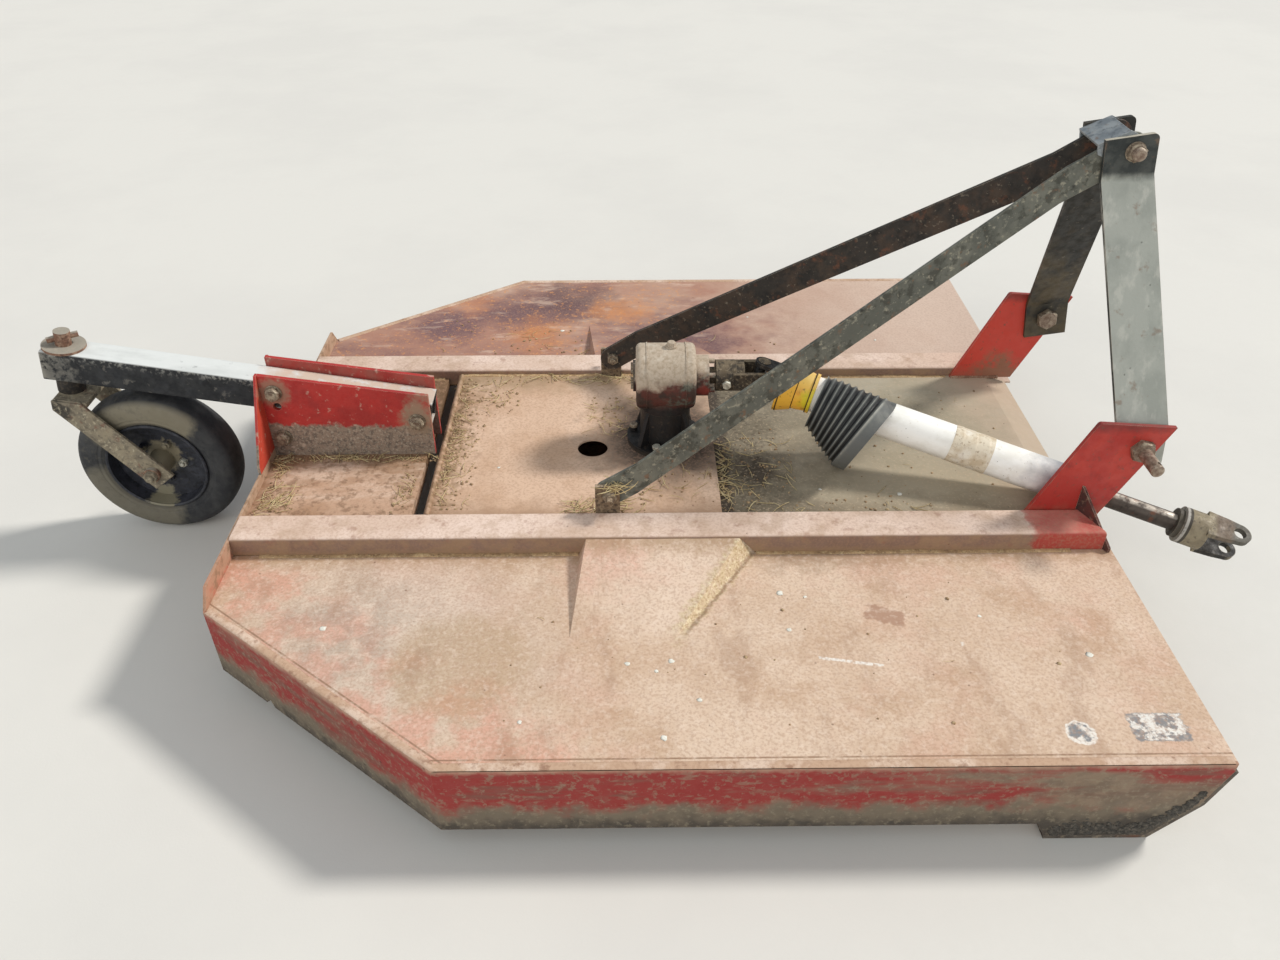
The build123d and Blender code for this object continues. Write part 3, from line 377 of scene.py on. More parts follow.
rear_bay = finish("rear_bay", (196, 162, 136), [
    patches((166, 128, 96), 0.7, 0.16),
    wash((128, 98, 66), 0.85, ("y", -0.19, -0.05, 0.03, 0.05)),
    patches((226, 202, 182), 0.6, 0.09, 0.5, 0.64, stretch=(0.35, 1, 1)),
    patches((112, 84, 58), 0.6, 0.016, 0.5, 0.62),
    patches((104, 78, 52), 0.7, 0.01, 0.36, 0.52, ("y", -0.1, -0.06, 0.02, 0.03)),
    wash((140, 104, 74), 0.7, ("x", -0.8, -0.86, 0.02, 0.05)),
    *dusty_speckle,
], grain=((0.2, 0.004), (0.01, 0.0005)))
front_sheet = finish("front_sheet", (172, 160, 138), [
    patches((148, 138, 116), 0.6, 0.2),
    patches((186, 178, 160), 0.5, 0.12, 0.5, 0.66, stretch=(0.5, 1, 1)),
    wash((198, 176, 154), 0.7, ("x", 0.8, 0.98, 0.05, 0.08)),
    wash((128, 112, 90), 0.6, ("y", -0.2, -0.29, 0.04, 0.05)),
    wash((108, 98, 80), 0.85, ("x", 0.5, 0.28, 0.08, 0.06)),
    patches((78, 68, 56), 0.7, 0.014, 0.5, 0.62, ("x", 0.42, 0.26, 0.05, 0.05)),
    wash((58, 46, 38), 0.8, ("x", 0.24, 0.228, 0.006, 0.02)),
    wash((58, 46, 38), 0.75, ("near", (0.3, -0.12, 0.23), 0.07, 0.025, 0.02, 0.03)),
    specks((88, 76, 60), 0.8, 0.018, 0.3, 0.05, 0.13),
    patches((196, 176, 150), 0.4, 0.007, 0.54, 0.64),
    specks(white_fleck, 0.9, 0.1, 0.15, 0.03, 0.055),
], grain=((0.16, 0.005), (0.007, 0.0006)))
dress(near_sheet, "side_sheet_right")
dress(far_sheet, "side_sheet_left")
dress(rear_bay, "rear_bay_plate")
dress(middle_sheet, "centre_plate")
dress(front_sheet, "front_plate")

# Edge seams: each side sheet laps a folded flange on its band, and the lap shows as a low rounded ridge
# under the dust. More dust has gathered along the feet of the rails, outside and inside.
sheet_top = 0.211
flange_half = 0.0085
seam_dust = finish("seam_dust", (196, 164, 138), [
    patches((228, 206, 188), 0.7, 0.08),
    patches((140, 100, 80), 0.7, 0.02, 0.55, 0.66),
    *dusty_speckle,
], edge=((150, 96, 78), 0.8))
edge_line = np.array([(-0.853, 0.568), (-0.3405, 0.9565), (1.0385, 0.9565)])


def skin(name, points, body, made, wrap=(False, True), crease=35, marks=None):
    """Closed skins over grids of points, one grid for each copy: rows along the first parameter, columns
    along the second. wrap joins the last row or column to the first, the first and last row are shut where
    they are not joined, and marks gives each point a number for its finish to read."""
    points = np.asarray(points, dtype=float)
    if points.ndim == 3:
        points = points[None]
    copies, rows, columns = points.shape[:3]
    index = np.arange(rows * columns).reshape(rows, columns)
    lower = index if wrap[0] else index[:-1]
    upper = np.roll(index, -1, 0) if wrap[0] else index[1:]
    if wrap[1]:
        quads = np.stack([lower, np.roll(lower, -1, 1), np.roll(upper, -1, 1), upper], -1)
    else:
        quads = np.stack([lower[:, :-1], lower[:, 1:], upper[:, 1:], upper[:, :-1]], -1)
    quads = quads.reshape(-1, 4)
    flat = points.reshape(copies, -1, 3)
    corners = (flat - flat.mean(1, keepdims=True))[:, quads]
    outward = np.cross(corners[:, :, 1] - corners[:, :, 0], corners[:, :, 2] - corners[:, :, 0])
    outward += np.cross(corners[:, :, 2] - corners[:, :, 0], corners[:, :, 3] - corners[:, :, 0])
    flipped = np.einsum("kqi,kqi->k", outward, corners.mean(2)) < 0
    faces = []
    shut = [] if wrap[0] else [index[0, ::-1].tolist(), index[-1].tolist()]
    for copy in range(copies):
        way = -1 if flipped[copy] else 1
        start = copy * rows * columns
        faces += (quads[:, ::way] + start).tolist()
        faces += [[start + i for i in ring[::way]] for ring in shut]
    mesh = bpy.data.meshes.new(name)
    mesh.from_pydata(flat.reshape(-1, 3).tolist(), [], faces)
    mesh.polygons.foreach_set("use_smooth", np.ones(len(mesh.polygons), dtype=bool))
    if crease:
        mesh.set_sharp_from_angle(angle=math.radians(crease))
    if marks is not None:
        mesh.attributes.new("mark", "FLOAT", "POINT").data.foreach_set("value", np.ravel(marks))
    mesh.materials.append(made)
    mesh.update()
    piece = bpy.data.objects.new(name, mesh)
    scene.collection.objects.link(piece)
    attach(piece, body)
    return piece


def unit(ways):
    """Directions brought to a length of one, each divided by its own length."""
    return ways / np.linalg.norm(ways, axis=-1, keepdims=True)


def lengths(path):
    """How far along a path each of its points lies: the running sum of the steps between them."""
    return np.r_[0, np.cumsum(np.linalg.norm(np.diff(path, axis=0), axis=1))]


def places(path, along):
    """The points of a path at distances along it, each coordinate interpolated over the path's lengths."""
    return np.stack([np.interp(along, lengths(path), column) for column in path.T], -1)


def ridge(line, half, height, base):
    """A low ridge along a plan line: across it the height follows half a sine, along it the height wavers by
    up to 12 % with the sum of two sines, and its foot is at base."""
    steps = lengths(line)
    along = np.unique(np.r_[np.arange(0, steps[-1], 0.02), steps, steps[1:-1] - 0.002, steps[1:-1] + 0.002])
    course = places(line, along)
    way = unit(np.gradient(course, axis=0))
    across = np.stack([way[:, 1], -way[:, 0]], -1)
    turn = np.linspace(0, np.pi, 7)
    sideways = np.r_[half * np.cos(turn), -half, half]
    up = np.r_[height * np.sin(turn), -0.002, -0.002]
    uneven = 0.0006 * np.sin(along * 23.0) + 0.0004 * np.sin(along * 61.0 + 1.3)
    points = np.empty((len(course), len(sideways), 3))
    points[..., :2] = course[:, None] + sideways[None, :, None] * across[:, None]
    points[..., 2] = base + up[None] * (1 + 120 * uneven[:, None])
    return points


seams = [ridge(edge_line * (1, side), flange_half, 0.0022, sheet_top) for side in (-1, 1)]
skin("edge_seams", seams, "frame", seam_dust)
rail_in, rail_out = 0.311, 0.397
foot_dust_line = finish("foot_dust_line", (188, 156, 116), [
    patches((150, 120, 88), 0.8, 0.02),
    patches((214, 190, 146), 0.7, 0.008, 0.52, 0.62),
    patches((96, 76, 58), 0.7, 0.005, 0.58, 0.66),
], grain=((0.004, 0.0012),), rounded=0.0)
# The ramps on the side sheets lie against the rails between these two places.
ramp_rear, ramp_front = -0.112, 0.272


def dust_line(start, stop, y, half, base):
    """Dust gathered along a rail's foot: a low ridge whose height comes and goes over its length as the sum
    of three sines, and never falls below a tenth of the whole."""
    points = ridge(np.array([(start, y), (stop, y)], float), half, 0.0042, 0.0)
    along = np.linspace(0, stop - start, len(points))[:, None]
    swell = 0.45 + 0.3 * np.sin(along * 17.0 + y * 40) + 0.2 * np.sin(along * 41.0)
    swell = np.maximum(swell + 0.15 * np.sin(along * 97.0), 0.1)
    points[..., 2] = base + np.where(points[..., 2] > 0, points[..., 2] * swell, points[..., 2])
    return points


outer_runs = [(side, run) for side in (-1, 1) for run in ((-0.80, ramp_rear), (ramp_front, 0.955))]
for number, (side, run) in enumerate(outer_runs):
    points = dust_line(*run, side * (rail_out + 0.002), 0.007, sheet_top)
    skin(f"dust_line_{number}", points, "frame", foot_dust_line)
hands = ((-1, "right"), (1, "left"))
inner_runs = ((-0.84, -0.50, 0.232), (-0.45, 0.20, 0.242), (0.215, 0.86, 0.231))
for number, (*run, base) in enumerate(inner_runs):
    for side, name in hands:
        points = dust_line(*run, side * (rail_in - 0.002), 0.008, base)
        skin(f"dust_inside_{name}_{number}", points, "frame", foot_dust_line)

# Rails: two channels folded from steel plate that run the deck's length and stiffen it, dusty pink above
# and darker down their sides, with fresh red left on the front end of the right one.
red_end = [("x", 0.862, 0.878, 0.008, 0.02), ("y", 0.0, -0.1)]
rail_coat = finish("rail_coat", (218, 192, 174), [
    patches((236, 214, 200), 0.7, 0.2),
    patches((186, 158, 134), 0.5, 0.05, 0.5, 0.64),
    wash((122, 94, 78), 0.88, ("up", 0.75, 0.3)),
    patches((158, 130, 102), 0.75, 0.06, 0.46, 0.6, ("up", 0.75, 0.3)),
    wash((160, 130, 98), 0.75, ("z", 0.228, 0.213, 0.004, 0.02)),
    wash((176, 62, 54), 0.9, *red_end),
    patches((204, 138, 122), 0.7, 0.05, 0.3, 0.6, *red_end, ("up", 0.5, 0.9)),
    patches((150, 106, 88), 0.45, 0.03, 0.58, 0.68),
    patches((172, 136, 112), 0.3, 0.006, 0.47, 0.6),
    brown_dots,
    specks(white_fleck, 0.9, 0.11, 0.3, 0.03, 0.055),
], grain=((0.15, 0.003), (0.012, 0.0008)), edge=((230, 208, 190), 0.5), rounded=0.003)
dress(rail_coat, "rail_right", "rail_left")

# Bands round the deck: bright red paint is left in patches near the top, with rust and grey soil below,
# and the shoes under the front run bare and caked.
band_coat = finish("band_coat", (138, 118, 98), [
    patches((108, 92, 78), 0.6, 0.05),
    patches((150, 38, 37), 0.9, 0.16, 0.4, 0.5, ("z", 0.085, 0.125, 0.03, 0.06), stretch=(0.3, 0.3, 1.2)),
    patches((116, 84, 70), 0.7, 0.08, 0.52, 0.62, ("z", 0.08, 0.12, 0.03, 0.06), stretch=(0.22, 0.22, 1.5)),
    patches((148, 126, 106), 0.5, 0.012, 0.58, 0.68, stretch=(0.3, 0.3, 1)),
    wash((112, 102, 86), 0.8, ("z", 0.115, 0.08, 0.025, 0.06)),
    wash((66, 60, 54), 0.85, ("z", 0.078, 0.045, 0.02, 0.04)),
    wash((190, 156, 132), 0.75, ("z", 0.198, 0.21, 0.005, 0.03)),
    patches((146, 134, 112), 0.5, 0.01, 0.54, 0.64),
    specks((214, 206, 188), 0.7, 0.05, 0.25, 0.03, 0.08),
    specks((44, 38, 34), 0.7, 0.035, 0.25, 0.04, 0.12),
], grain=((0.2, 0.008), (0.03, 0.0015), (0.008, 0.0007)), edge=((190, 160, 138), 0.5), rounded=0.002)
rear_band_coat = finish("rear_band_coat", (186, 80, 62), [
    wash((190, 164, 138), 0.85, ("y", -0.44, -0.36, 0.05, 0.06)),
    wash((184, 156, 130), 0.7, ("z", 0.2, 0.23, 0.02, 0.04)),
    patches((176, 140, 114), 0.6, 0.07, 0.44, 0.56),
    patches((140, 110, 84), 0.7, 0.02, 0.5, 0.62),
    wash((112, 98, 82), 0.7, ("z", 0.16, 0.1, 0.03, 0.05)),
], grain=((0.2, 0.005), (0.01, 0.0005)), edge=((204, 176, 152), 0.7))
shoe_steel = finish("shoe_steel", (98, 90, 80), [
    patches((70, 64, 58), 0.8, 0.03),
    patches((150, 136, 116), 0.7, 0.012, 0.53, 0.64),
    patches((120, 76, 56), 0.6, 0.05, 0.55, 0.65),
], grain=((0.02, 0.002), (0.006, 0.0008)), edge=((168, 156, 140), 0.8))
dress(band_coat, "side_band_right", "side_band_left")
dress(rear_band_coat, "rear_band")
dress(shoe_steel, "skid_right", "skid_left")

# Caked soil on the shoes: lumps of mud pressed along the foot of the band, flattened against its outside
# and dried grey.
rng = np.random.default_rng(7)
soil_cake = finish("soil_cake", (74, 70, 64), [
    patches((112, 104, 92), 0.7, 0.008),
    patches((44, 40, 36), 0.7, 0.004, 0.48, 0.6),
], grain=((0.003, 0.001),), rounded=0.0)


def once_round(columns):
    """Angles spread evenly once round, the last one short of the first."""
    return np.linspace(0, 2 * np.pi, columns, endpoint=False)


def lumps(centres, radii, rows=5, columns=7):
    """Uneven pebbles: balls whose radius is shaken by up to 28 % at each point, flattened in height."""
    polar = np.linspace(0.35, np.pi - 0.35, rows)[None, :, None]
    around = once_round(columns)[None, None]
    shake = rng.uniform(0.72, 1.28, (len(centres), rows, columns))
    parts = np.sin(polar) * np.cos(around), np.sin(polar) * np.sin(around), 0.62 * np.cos(polar + 0 * around)
    ball = np.stack([shake * part for part in parts], -1)
    return np.asarray(centres)[:, None, None] + ball * np.asarray(radii)[:, None, None, None]


clods, band_out = 420, 0.9640
for side, name in hands:
    along = rng.beta(1.1, 1.3, clods)
    x = np.interp(along, (0, 0.55, 0.8, 1), (0.765, 0.930, 0.985, 1.012))
    foot = np.interp(along, (0, 0.55, 0.8, 1), (0.010, 0.013, 0.072, 0.118))
    rise = rng.beta(1.0, 2.2, clods) * np.interp(along, (0, 0.15, 0.55, 1), (0.028, 0.050, 0.034, 0.016))
    centres = np.stack([x, np.full(clods, side * band_out), foot + rise + 0.004], -1)
    clod = lumps(centres, rng.uniform(0.0025, 0.0105, clods) * np.where(rise > 0.03, 0.55, 1.0))
    clod[..., 1] = side * band_out + 0.5 * (clod[..., 1] - side * band_out)
    skin(f"shoe_soil_{name}", clod, "frame", soil_cake, crease=0)

# Lower hitch: two lug plates leaning forward in fresh red paint, bent gussets behind the mitred rail ends,
# and the pins, each held by a nut on either side of its plate.
lug_red = finish("lug_red", (172, 50, 42), [
    patches((196, 70, 56), 0.5, 0.09),
    patches((120, 40, 36), 0.45, 0.03, 0.54, 0.68),
    # Painted light: the left lug is a brighter red than the right, for the sunlight on it; the paint is the
    # same.
    wash((206, 66, 50), 0.75, ("y", 0.0, 0.1)),
    patches((134, 96, 72), 0.9, 0.02, 0.3, 0.5, ("near", (0.99, 0.306, 0.245), 0.075, 0.045, 0.015, 0.03)),
    wash((150, 100, 78), 0.6, ("z", 0.27, 0.235, 0.015, 0.03)),
    wash((96, 44, 42), 0.6, ("z", 0.452, 0.47, 0.006, 0.03)),
    patches((110, 72, 58), 0.7, 0.012, 0.6, 0.68),
    specks(white_fleck, 0.7, 0.03, 0.12, 0.02, 0.06),
], rough=(0.42, 0.7), grain=((0.05, 0.0012), (0.006, 0.0002)), edge=((196, 170, 150), 0.75), rounded=0.0015)
# Painted shade: the gussets' red paint is painted a dark red-brown as it looks in shade.
shaded_gusset = finish("shaded_gusset", (88, 50, 44), [
    patches((60, 46, 42), 0.8, 0.03),
    patches((150, 128, 106), 0.6, 0.016, 0.54, 0.64),
    patches((146, 58, 48), 0.6, 0.06, 0.52, 0.6),
], grain=((0.02, 0.0012),), edge=((214, 190, 168), 0.95), rounded=0.002)
pin_steel = finish("pin_steel", (138, 120, 104), [
    patches((184, 170, 152), 0.7, 0.02),
    patches((100, 72, 58), 0.6, 0.008),
], rough=(0.45, 0.7), metal=0.35, grain=((0.006, 0.0004),), edge=((214, 204, 188), 0.7))
dress(lug_red, "hitch_lug_right", "hitch_lug_left")
dress(shaded_gusset, "lug_gusset_right", "lug_gusset_left")
dress(pin_steel, "hitch_pin_right", "hitch_pin_left")
hitch = np.array([1.087, 0.0, 0.414])
nut_steel = finish("nut_steel", (134, 120, 102), [
    patches((178, 166, 144), 0.8, 0.014),
    patches((88, 66, 54), 0.7, 0.008),
], rough=(0.45, 0.75), metal=0.3, grain=((0.004, 0.0004),), edge=((212, 202, 184), 0.8))
weld_steel = finish("weld_steel", (150, 116, 94), [
    patches((190, 162, 138), 0.7, 0.03),
    patches((110, 74, 56), 0.6, 0.012),
], grain=((0.004, 0.0006),), rounded=0.0)


def ringed(around, first, second):
    """Directions at angles a round a ring: cos a times the first direction plus sin a times the second."""
    return np.cos(around)[:, None] * first[..., None, :] + np.sin(around)[:, None] * second[..., None, :]


def turned(place, axis, rows, columns=24, spin=0.0):
    """A turned or six-sided shape on an axis: a row is (height, radius, sides), the radius is divided by the
    cosine of the angle from the middle of its flat where sides is 6, and is even where sides is 0."""
    axis = unit(np.asarray(axis, float))
    first = unit(np.cross(axis, (0.0, 0.0, 1.0) if abs(axis[2]) < 0.9 else (1.0, 0.0, 0.0)))
    around = once_round(columns) + spin
    height, radius, sides = np.array(rows, float).T
    flat = np.cos((around - spin + np.pi / 6) % (np.pi / 3) - np.pi / 6)
    reach = radius[:, None] * np.where(sides[:, None] == 6, 1 / flat[None], 1.0)
    ring = ringed(around, first, np.cross(axis, first))
    return np.asarray(place, float) + height[:, None, None] * axis + reach[..., None] * ring[None]


def both(place, out, rows, away=1, **more):
    """The same turned shape on both sides of a place, this far out, facing away from it or back to it."""
    return [turned(place + (0, side * out, 0), (0, side * away, 0), rows, **more) for side in (-1, 1)]


def hexagon(across, thick, washer=0.0, stub=0.0, stub_r=0.0):
    """The rows of a hexagon head or nut: a washer under it, its chamfered crown, and a bolt end beyond it."""
    half = across / 2
    rows = []
    if washer:
        rows += [(0.0, half * 1.35, 0), (washer, half * 1.35, 0), (washer, half * 1.0, 6)]
    else:
        rows += [(0.0, half, 6)]
    top = washer + thick
    rows += [(top - 0.12 * half, half, 6), (top, half * 0.94, 0)]
    if stub:
        rows += [(top, stub_r, 0), (top + stub - 0.001, stub_r, 0), (top + stub, stub_r - 0.001, 0)]
    return rows


def bead(path, radius, columns=8, pitch=0.006):
    """A weld bead along a path: a round ridge whose radius swells by 15 % with the sine of each ripple and by
    12 % with a longer one."""
    path = np.asarray(path, float)
    length = lengths(path)[-1]
    along = np.linspace(0, length, max(int(length / pitch * 4), 8))
    line = places(path, along)
    way = unit(np.gradient(line, axis=0))
    first = unit(np.cross(way, (0.13, 0.21, 0.97)))
    swell = radius * (1 + 0.15 * np.sin(2 * np.pi * along / pitch) + 0.12 * np.sin(along * 61.0))
    return line[:, None] + swell[:, None, None] * ringed(once_round(columns), first, np.cross(way, first))


lug_nut = hexagon(0.046, 0.0155)
lug_outside, lug_inside = 0.3113, 0.2907
hitch_nuts = both(hitch, lug_outside, lug_nut, spin=0.3)
hitch_nuts += both(hitch, lug_inside, lug_nut, away=-1, spin=0.1)
skin("hitch_nuts", hitch_nuts, "frame", nut_steel)
lug_y, rail_top = 0.3, 0.232
lug_welds = [bead([(x, side * lug_y, rail_top) for x in (0.872, 1.0)], 0.004) for side in (-1, 1)]
skin("lug_welds", lug_welds, "frame", weld_steel)

# Mast: two flat bars joined by the top bolt, in black paint with some rust and dust, and the top link bracket
# between them of bare bluish plate. The right bar's lower part, which leans up to the sky, and its top face
# are painted pale as light falling on them.
mast_near = finish("mast_near", (46, 51, 50), [
    patches((78, 81, 77), 0.6, 0.04, 0.5, 0.62),
    # Painted light: the right bar's lower part, leaning up to the sky, is painted pale and mottled as lit.
    wash((174, 177, 168), 0.95, ("z", 0.922, 0.905, 0.004, 0.02), ("right", 0.4, 0.8)),
    patches((148, 152, 144), 0.6, 0.07, 0.46, 0.6, ("z", 0.925, 0.9), stretch=(1, 1, 0.35)),
    patches((196, 196, 186), 0.55, 0.03, 0.54, 0.64, ("z", 0.925, 0.9), stretch=(1, 1, 0.3)),
    patches((128, 100, 78), 0.5, 0.03, 0.62, 0.7),
    # Painted highlight: the top face is painted pale as light falls on it.
    wash((190, 184, 168), 0.9, ("up", 0.5, 0.8), ("z", 0.97, 0.99)),
    specks((74, 74, 68), 0.65, 0.02, 0.3, 0.04, 0.14),
], rough=(0.5, 0.8), grain=((0.06, 0.0015), (0.008, 0.0004)), edge=((176, 156, 134), 0.8), rounded=0.0015)
mast_far = finish("mast_far", (40, 39, 34), [
    patches((28, 28, 26), 0.7, 0.08, stretch=(1, 1, 0.4)),
    patches((104, 90, 64), 0.55, 0.08, 0.4, 0.58, ("z", 0.7, 0.6, 0.04, 0.06)),
    patches((74, 66, 54), 0.5, 0.04, 0.54, 0.66),
    patches((120, 112, 98), 0.5, 0.012, 0.63, 0.7),
], rough=(0.42, 0.75), grain=((0.06, 0.0012), (0.008, 0.0003)), edge=((150, 144, 132), 0.5), rounded=0.0015)
bracket_steel = finish("bracket_steel", (120, 128, 134), [
    patches((164, 170, 172), 0.7, 0.04),
    patches((70, 78, 86), 0.6, 0.02, 0.55, 0.65),
    patches((120, 96, 76), 0.6, 0.015, 0.6, 0.7),
], rough=(0.4, 0.65), metal=0.25, grain=((0.01, 0.0003),), edge=((206, 204, 196), 0.9))
dress(mast_near, "mast_bar_right")
dress(mast_far, "mast_bar_left")
dress(bracket_steel, "top_link_bracket")
top_bolt_at = np.array([1.014, 0.0, 0.965])
shank_rows = [(0.0, 0.0112, 0), (0.0016, 0.0127, 0), (0.1744, 0.0127, 0), (0.176, 0.0112, 0)]
half_shank, nut_out, thread_out = 0.088, 0.0621, 0.0762
shank_points = turned(top_bolt_at - (0, half_shank, 0), (0, 1, 0), shank_rows)
shank = skin("top_bolt_shank", shank_points, "frame", pin_steel)
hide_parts("top_bolt")
nut_rows = [(0, 0.0205, 0), (0.0025, 0.0205, 0), (0.0025, 0.017, 6), (0.0128, 0.017, 6), (0.0152, 0.0155, 0)]
top_hexes = [
    turned(top_bolt_at + (0, side * nut_out, 0), (0, side, 0), nut_rows, spin=0.2 * side) for side in (-1, 1)
]
skin("top_bolt_nuts", top_hexes, "frame", nut_steel)
thread_rows = [(0, 0.0127, 0)]
for step in range(1, 7):
    thread_rows.append((0.0016 * step, 0.0137 if step % 2 else 0.0128, 0))
skin("top_bolt_threads", both(top_bolt_at, thread_out, thread_rows), "frame", pin_steel)

# Braces: flat steel bars from the mast's top to feet on the rails, black paint under lichen, dust and rust,
# with a nut and bolt end on either side of each foot.
brace_near = finish("brace_near", (94, 96, 88), [
    patches((126, 126, 114), 0.6, 0.06),
    patches((60, 60, 52), 0.7, 0.03, 0.52, 0.6),
    patches((164, 160, 142), 0.7, 0.012, 0.57, 0.66),
    patches((124, 92, 68), 0.7, 0.02, 0.6, 0.68),
    specks((36, 36, 34), 0.6, 0.02, 0.35, 0.08, 0.25),
], rough=(0.6, 0.85), grain=((0.03, 0.001), (0.006, 0.0004)), edge=((176, 170, 152), 0.85), rounded=0.0015)
brace_far = finish("brace_far", (50, 46, 42), [
    patches((78, 62, 50), 0.7, 0.06),
    patches((30, 29, 28), 0.7, 0.04, 0.52, 0.6),
    patches((132, 120, 104), 0.7, 0.01, 0.6, 0.68),
    patches((116, 72, 50), 0.6, 0.03, 0.58, 0.68),
], rough=(0.55, 0.85), grain=((0.03, 0.001), (0.006, 0.0004)), edge=((190, 180, 164), 0.85), rounded=0.0015)
foot_dust = finish("foot_dust", (116, 97, 76), [
    patches((156, 136, 110), 0.6, 0.012),
    patches((66, 53, 43), 0.85, 0.01, 0.48, 0.6),
    patches((206, 184, 158), 0.7, 0.01, 0.4, 0.6, ("up", 0.5, 0.9)),
], grain=((0.004, 0.0008),), edge=((190, 172, 146), 0.5))
dress(brace_near, "brace_right")
dress(brace_far, "brace_left")
dress(foot_dust, "brace_foot_right", "brace_foot_left")
foot_at = np.array([-0.044, 0.0, 0.301])
foot_nut = hexagon(0.0275, 0.0105, stub=0.008, stub_r=0.0078)
brace_outside, brace_inside = 0.3113, 0.2927
foot_nuts = both(foot_at, brace_outside, foot_nut, spin=0.4)
foot_nuts += both(foot_at, brace_inside, foot_nut, away=-1)
skin("brace_foot_nuts", foot_nuts, "frame", nut_steel)

# Gearbox: a cast barrel with a cover at each end, on a ribbed stand bolted over the rotor's shaft.
# Dust lies thick on its top and brown-red paint is left low on its sides; the barrel's underside is painted
# near black as shade, and the stand is black with old oil and painted shade.
box_axis = np.array([0.086, 0.0, 0.420])
gearbox_coat = finish("gearbox_coat", (92, 50, 42), [
    patches((52, 48, 42), 0.75, 0.04, 0.46, 0.58),
    patches((96, 104, 94), 0.75, 0.035, 0.5, 0.56, ("x", 0.07, 0.1, 0.01, 0.03)),
    wash((190, 174, 154), 0.95, ((-0.12, 0, 1), 0.414, 0.436, 0.014, 0.03)),
    patches((156, 138, 116), 0.6, 0.008, 0.47, 0.6, ("up", 0.0, 0.4)),
    patches((214, 204, 188), 0.5, 0.02, 0.5, 0.64, ("up", 0.3, 0.8)),
    patches((34, 31, 30), 0.85, 0.03, 0.3, 0.44, ("x", 0.0155, 0.0125, 0.002, 0.02)),
    wash((134, 52, 42), 0.85, ("near", (0.172, -0.045, 0.405), 0.022, 0.014, 0.006, 0.02)),
    # Painted shade: the barrel's underside is painted near black.
    wash((18, 17, 17), 0.93, ("z", 0.378, 0.358, 0.008, 0.02)),
], rough=(0.6, 0.95), grain=((0.02, 0.001), (0.004, 0.0004)), edge=((150, 128, 104), 0.5), rounded=0.002)
# The stand is painted black for old oil and for the shade under the barrel, as painted shade.
stand_oil_and_shade = finish("stand_oil_and_shade", (26, 24, 24), [
    patches((16, 15, 16), 0.8, 0.03),
    patches((84, 70, 58), 0.5, 0.012, 0.58, 0.68),
    wash((74, 64, 54), 0.6, ("z", 0.256, 0.246, 0.006, 0.02)),
], rough=(0.4, 0.8), grain=((0.01, 0.0008),), edge=((122, 100, 78), 0.4))
dress(gearbox_coat, "gearbox_housing")
dress(stand_oil_and_shade, "gearbox_stand")
bright_zinc = finish("bright_zinc", (206, 204, 190), [
    patches((150, 146, 132), 0.8, 0.01),
    patches((110, 92, 70), 0.6, 0.006, 0.55, 0.65),
], rough=(0.35, 0.6), metal=0.4, grain=((0.003, 0.0002),), edge=((234, 232, 222), 0.8))
base_bolt_out, base_top = 0.079, 0.2635
base_heads = []
for way in np.radians([45, 135, 225, 315]) + 0.5:
    c, s = math.cos(way), math.sin(way)
    head_at = (box_axis[0] + base_bolt_out * c, base_bolt_out * s, base_top)
    base_heads.append(turned(head_at, (0, 0, 1), hexagon(0.019, 0.0075), spin=c))
bright_head = base_heads.pop(2)
skin("base_bolt_heads", base_heads, "frame", nut_steel)
skin("base_bolt_bright", bright_head, "frame", bright_zinc)
rear_cover, bolt_circle = box_axis + (-0.0773, 0, 0), 0.027
cover_bolts = [
    turned(rear_cover + (0, bolt_circle * c, bolt_circle * s), (-1, 0, 0), hexagon(0.010, 0.005), columns=12)
    for c, s in ((math.cos(way), math.sin(way)) for way in np.radians(np.arange(6) * 60 + 12))
]
skin("cover_bolts", cover_bolts, "frame", nut_steel)
seam_rows = [(-0.0015, 0.0772, 0), (-0.0015, 0.0786, 0), (0.0015, 0.0786, 0), (0.0015, 0.0772, 0)]
ring_shut = (True, True)
seams = [turned(box_axis + (x, 0, 0), (1, 0, 0), seam_rows, columns=64) for x in (-0.045, 0.046)]
skin("casting_seams", seams, "frame", gearbox_coat, wrap=ring_shut)
plug_rows = [(0.0, 0.013, 0), (0.004, 0.013, 0), (0.004, 0.009, 6), (0.012, 0.009, 6), (0.0135, 0.008, 0)]
plug = turned(box_axis + (0.012, 0, 0.0765), (0, 0, 1), plug_rows)
skin("filler_plug", plug, "frame", gearbox_coat)

# Input yoke and joint: forged steel, greased and dusted, with one bright clamp bolt through the hub
# and the bearing caps of the cross held by rings in its ears.
forged = finish("forged", (74, 64, 52), [
    wash((132, 116, 92), 0.65, ("up", 0.3, 0.9)),
    patches((38, 34, 30), 0.75, 0.015, 0.46, 0.58),
    patches((158, 144, 120), 0.55, 0.006, 0.54, 0.64),
], rough=(0.45, 0.8), metal=0.2, grain=((0.005, 0.0005),), edge=((180, 168, 146), 0.6))
grease_dark = finish("grease_dark", (26, 25, 25), [
    patches((52, 48, 44), 0.7, 0.01),
    patches((112, 102, 88), 0.5, 0.006, 0.56, 0.66),
], rough=(0.3, 0.65), metal=0.2, grain=((0.004, 0.0005),), edge=((130, 122, 108), 0.6))
dress(forged, "input_yoke")
dress(grease_dark, "pto_cross", "outer_yoke")
joint = np.array([0.310, 0.0, 0.420])
hub_bolt = np.array([0.2265, 0.0, 0.420])
hub_out = 0.0443
hub_head = turned(hub_bolt - (0, hub_out, 0), (0, -1, 0), hexagon(0.019, 0.0065), spin=0.2)
skin("clamp_bolt_head", hub_head, "frame", bright_zinc)
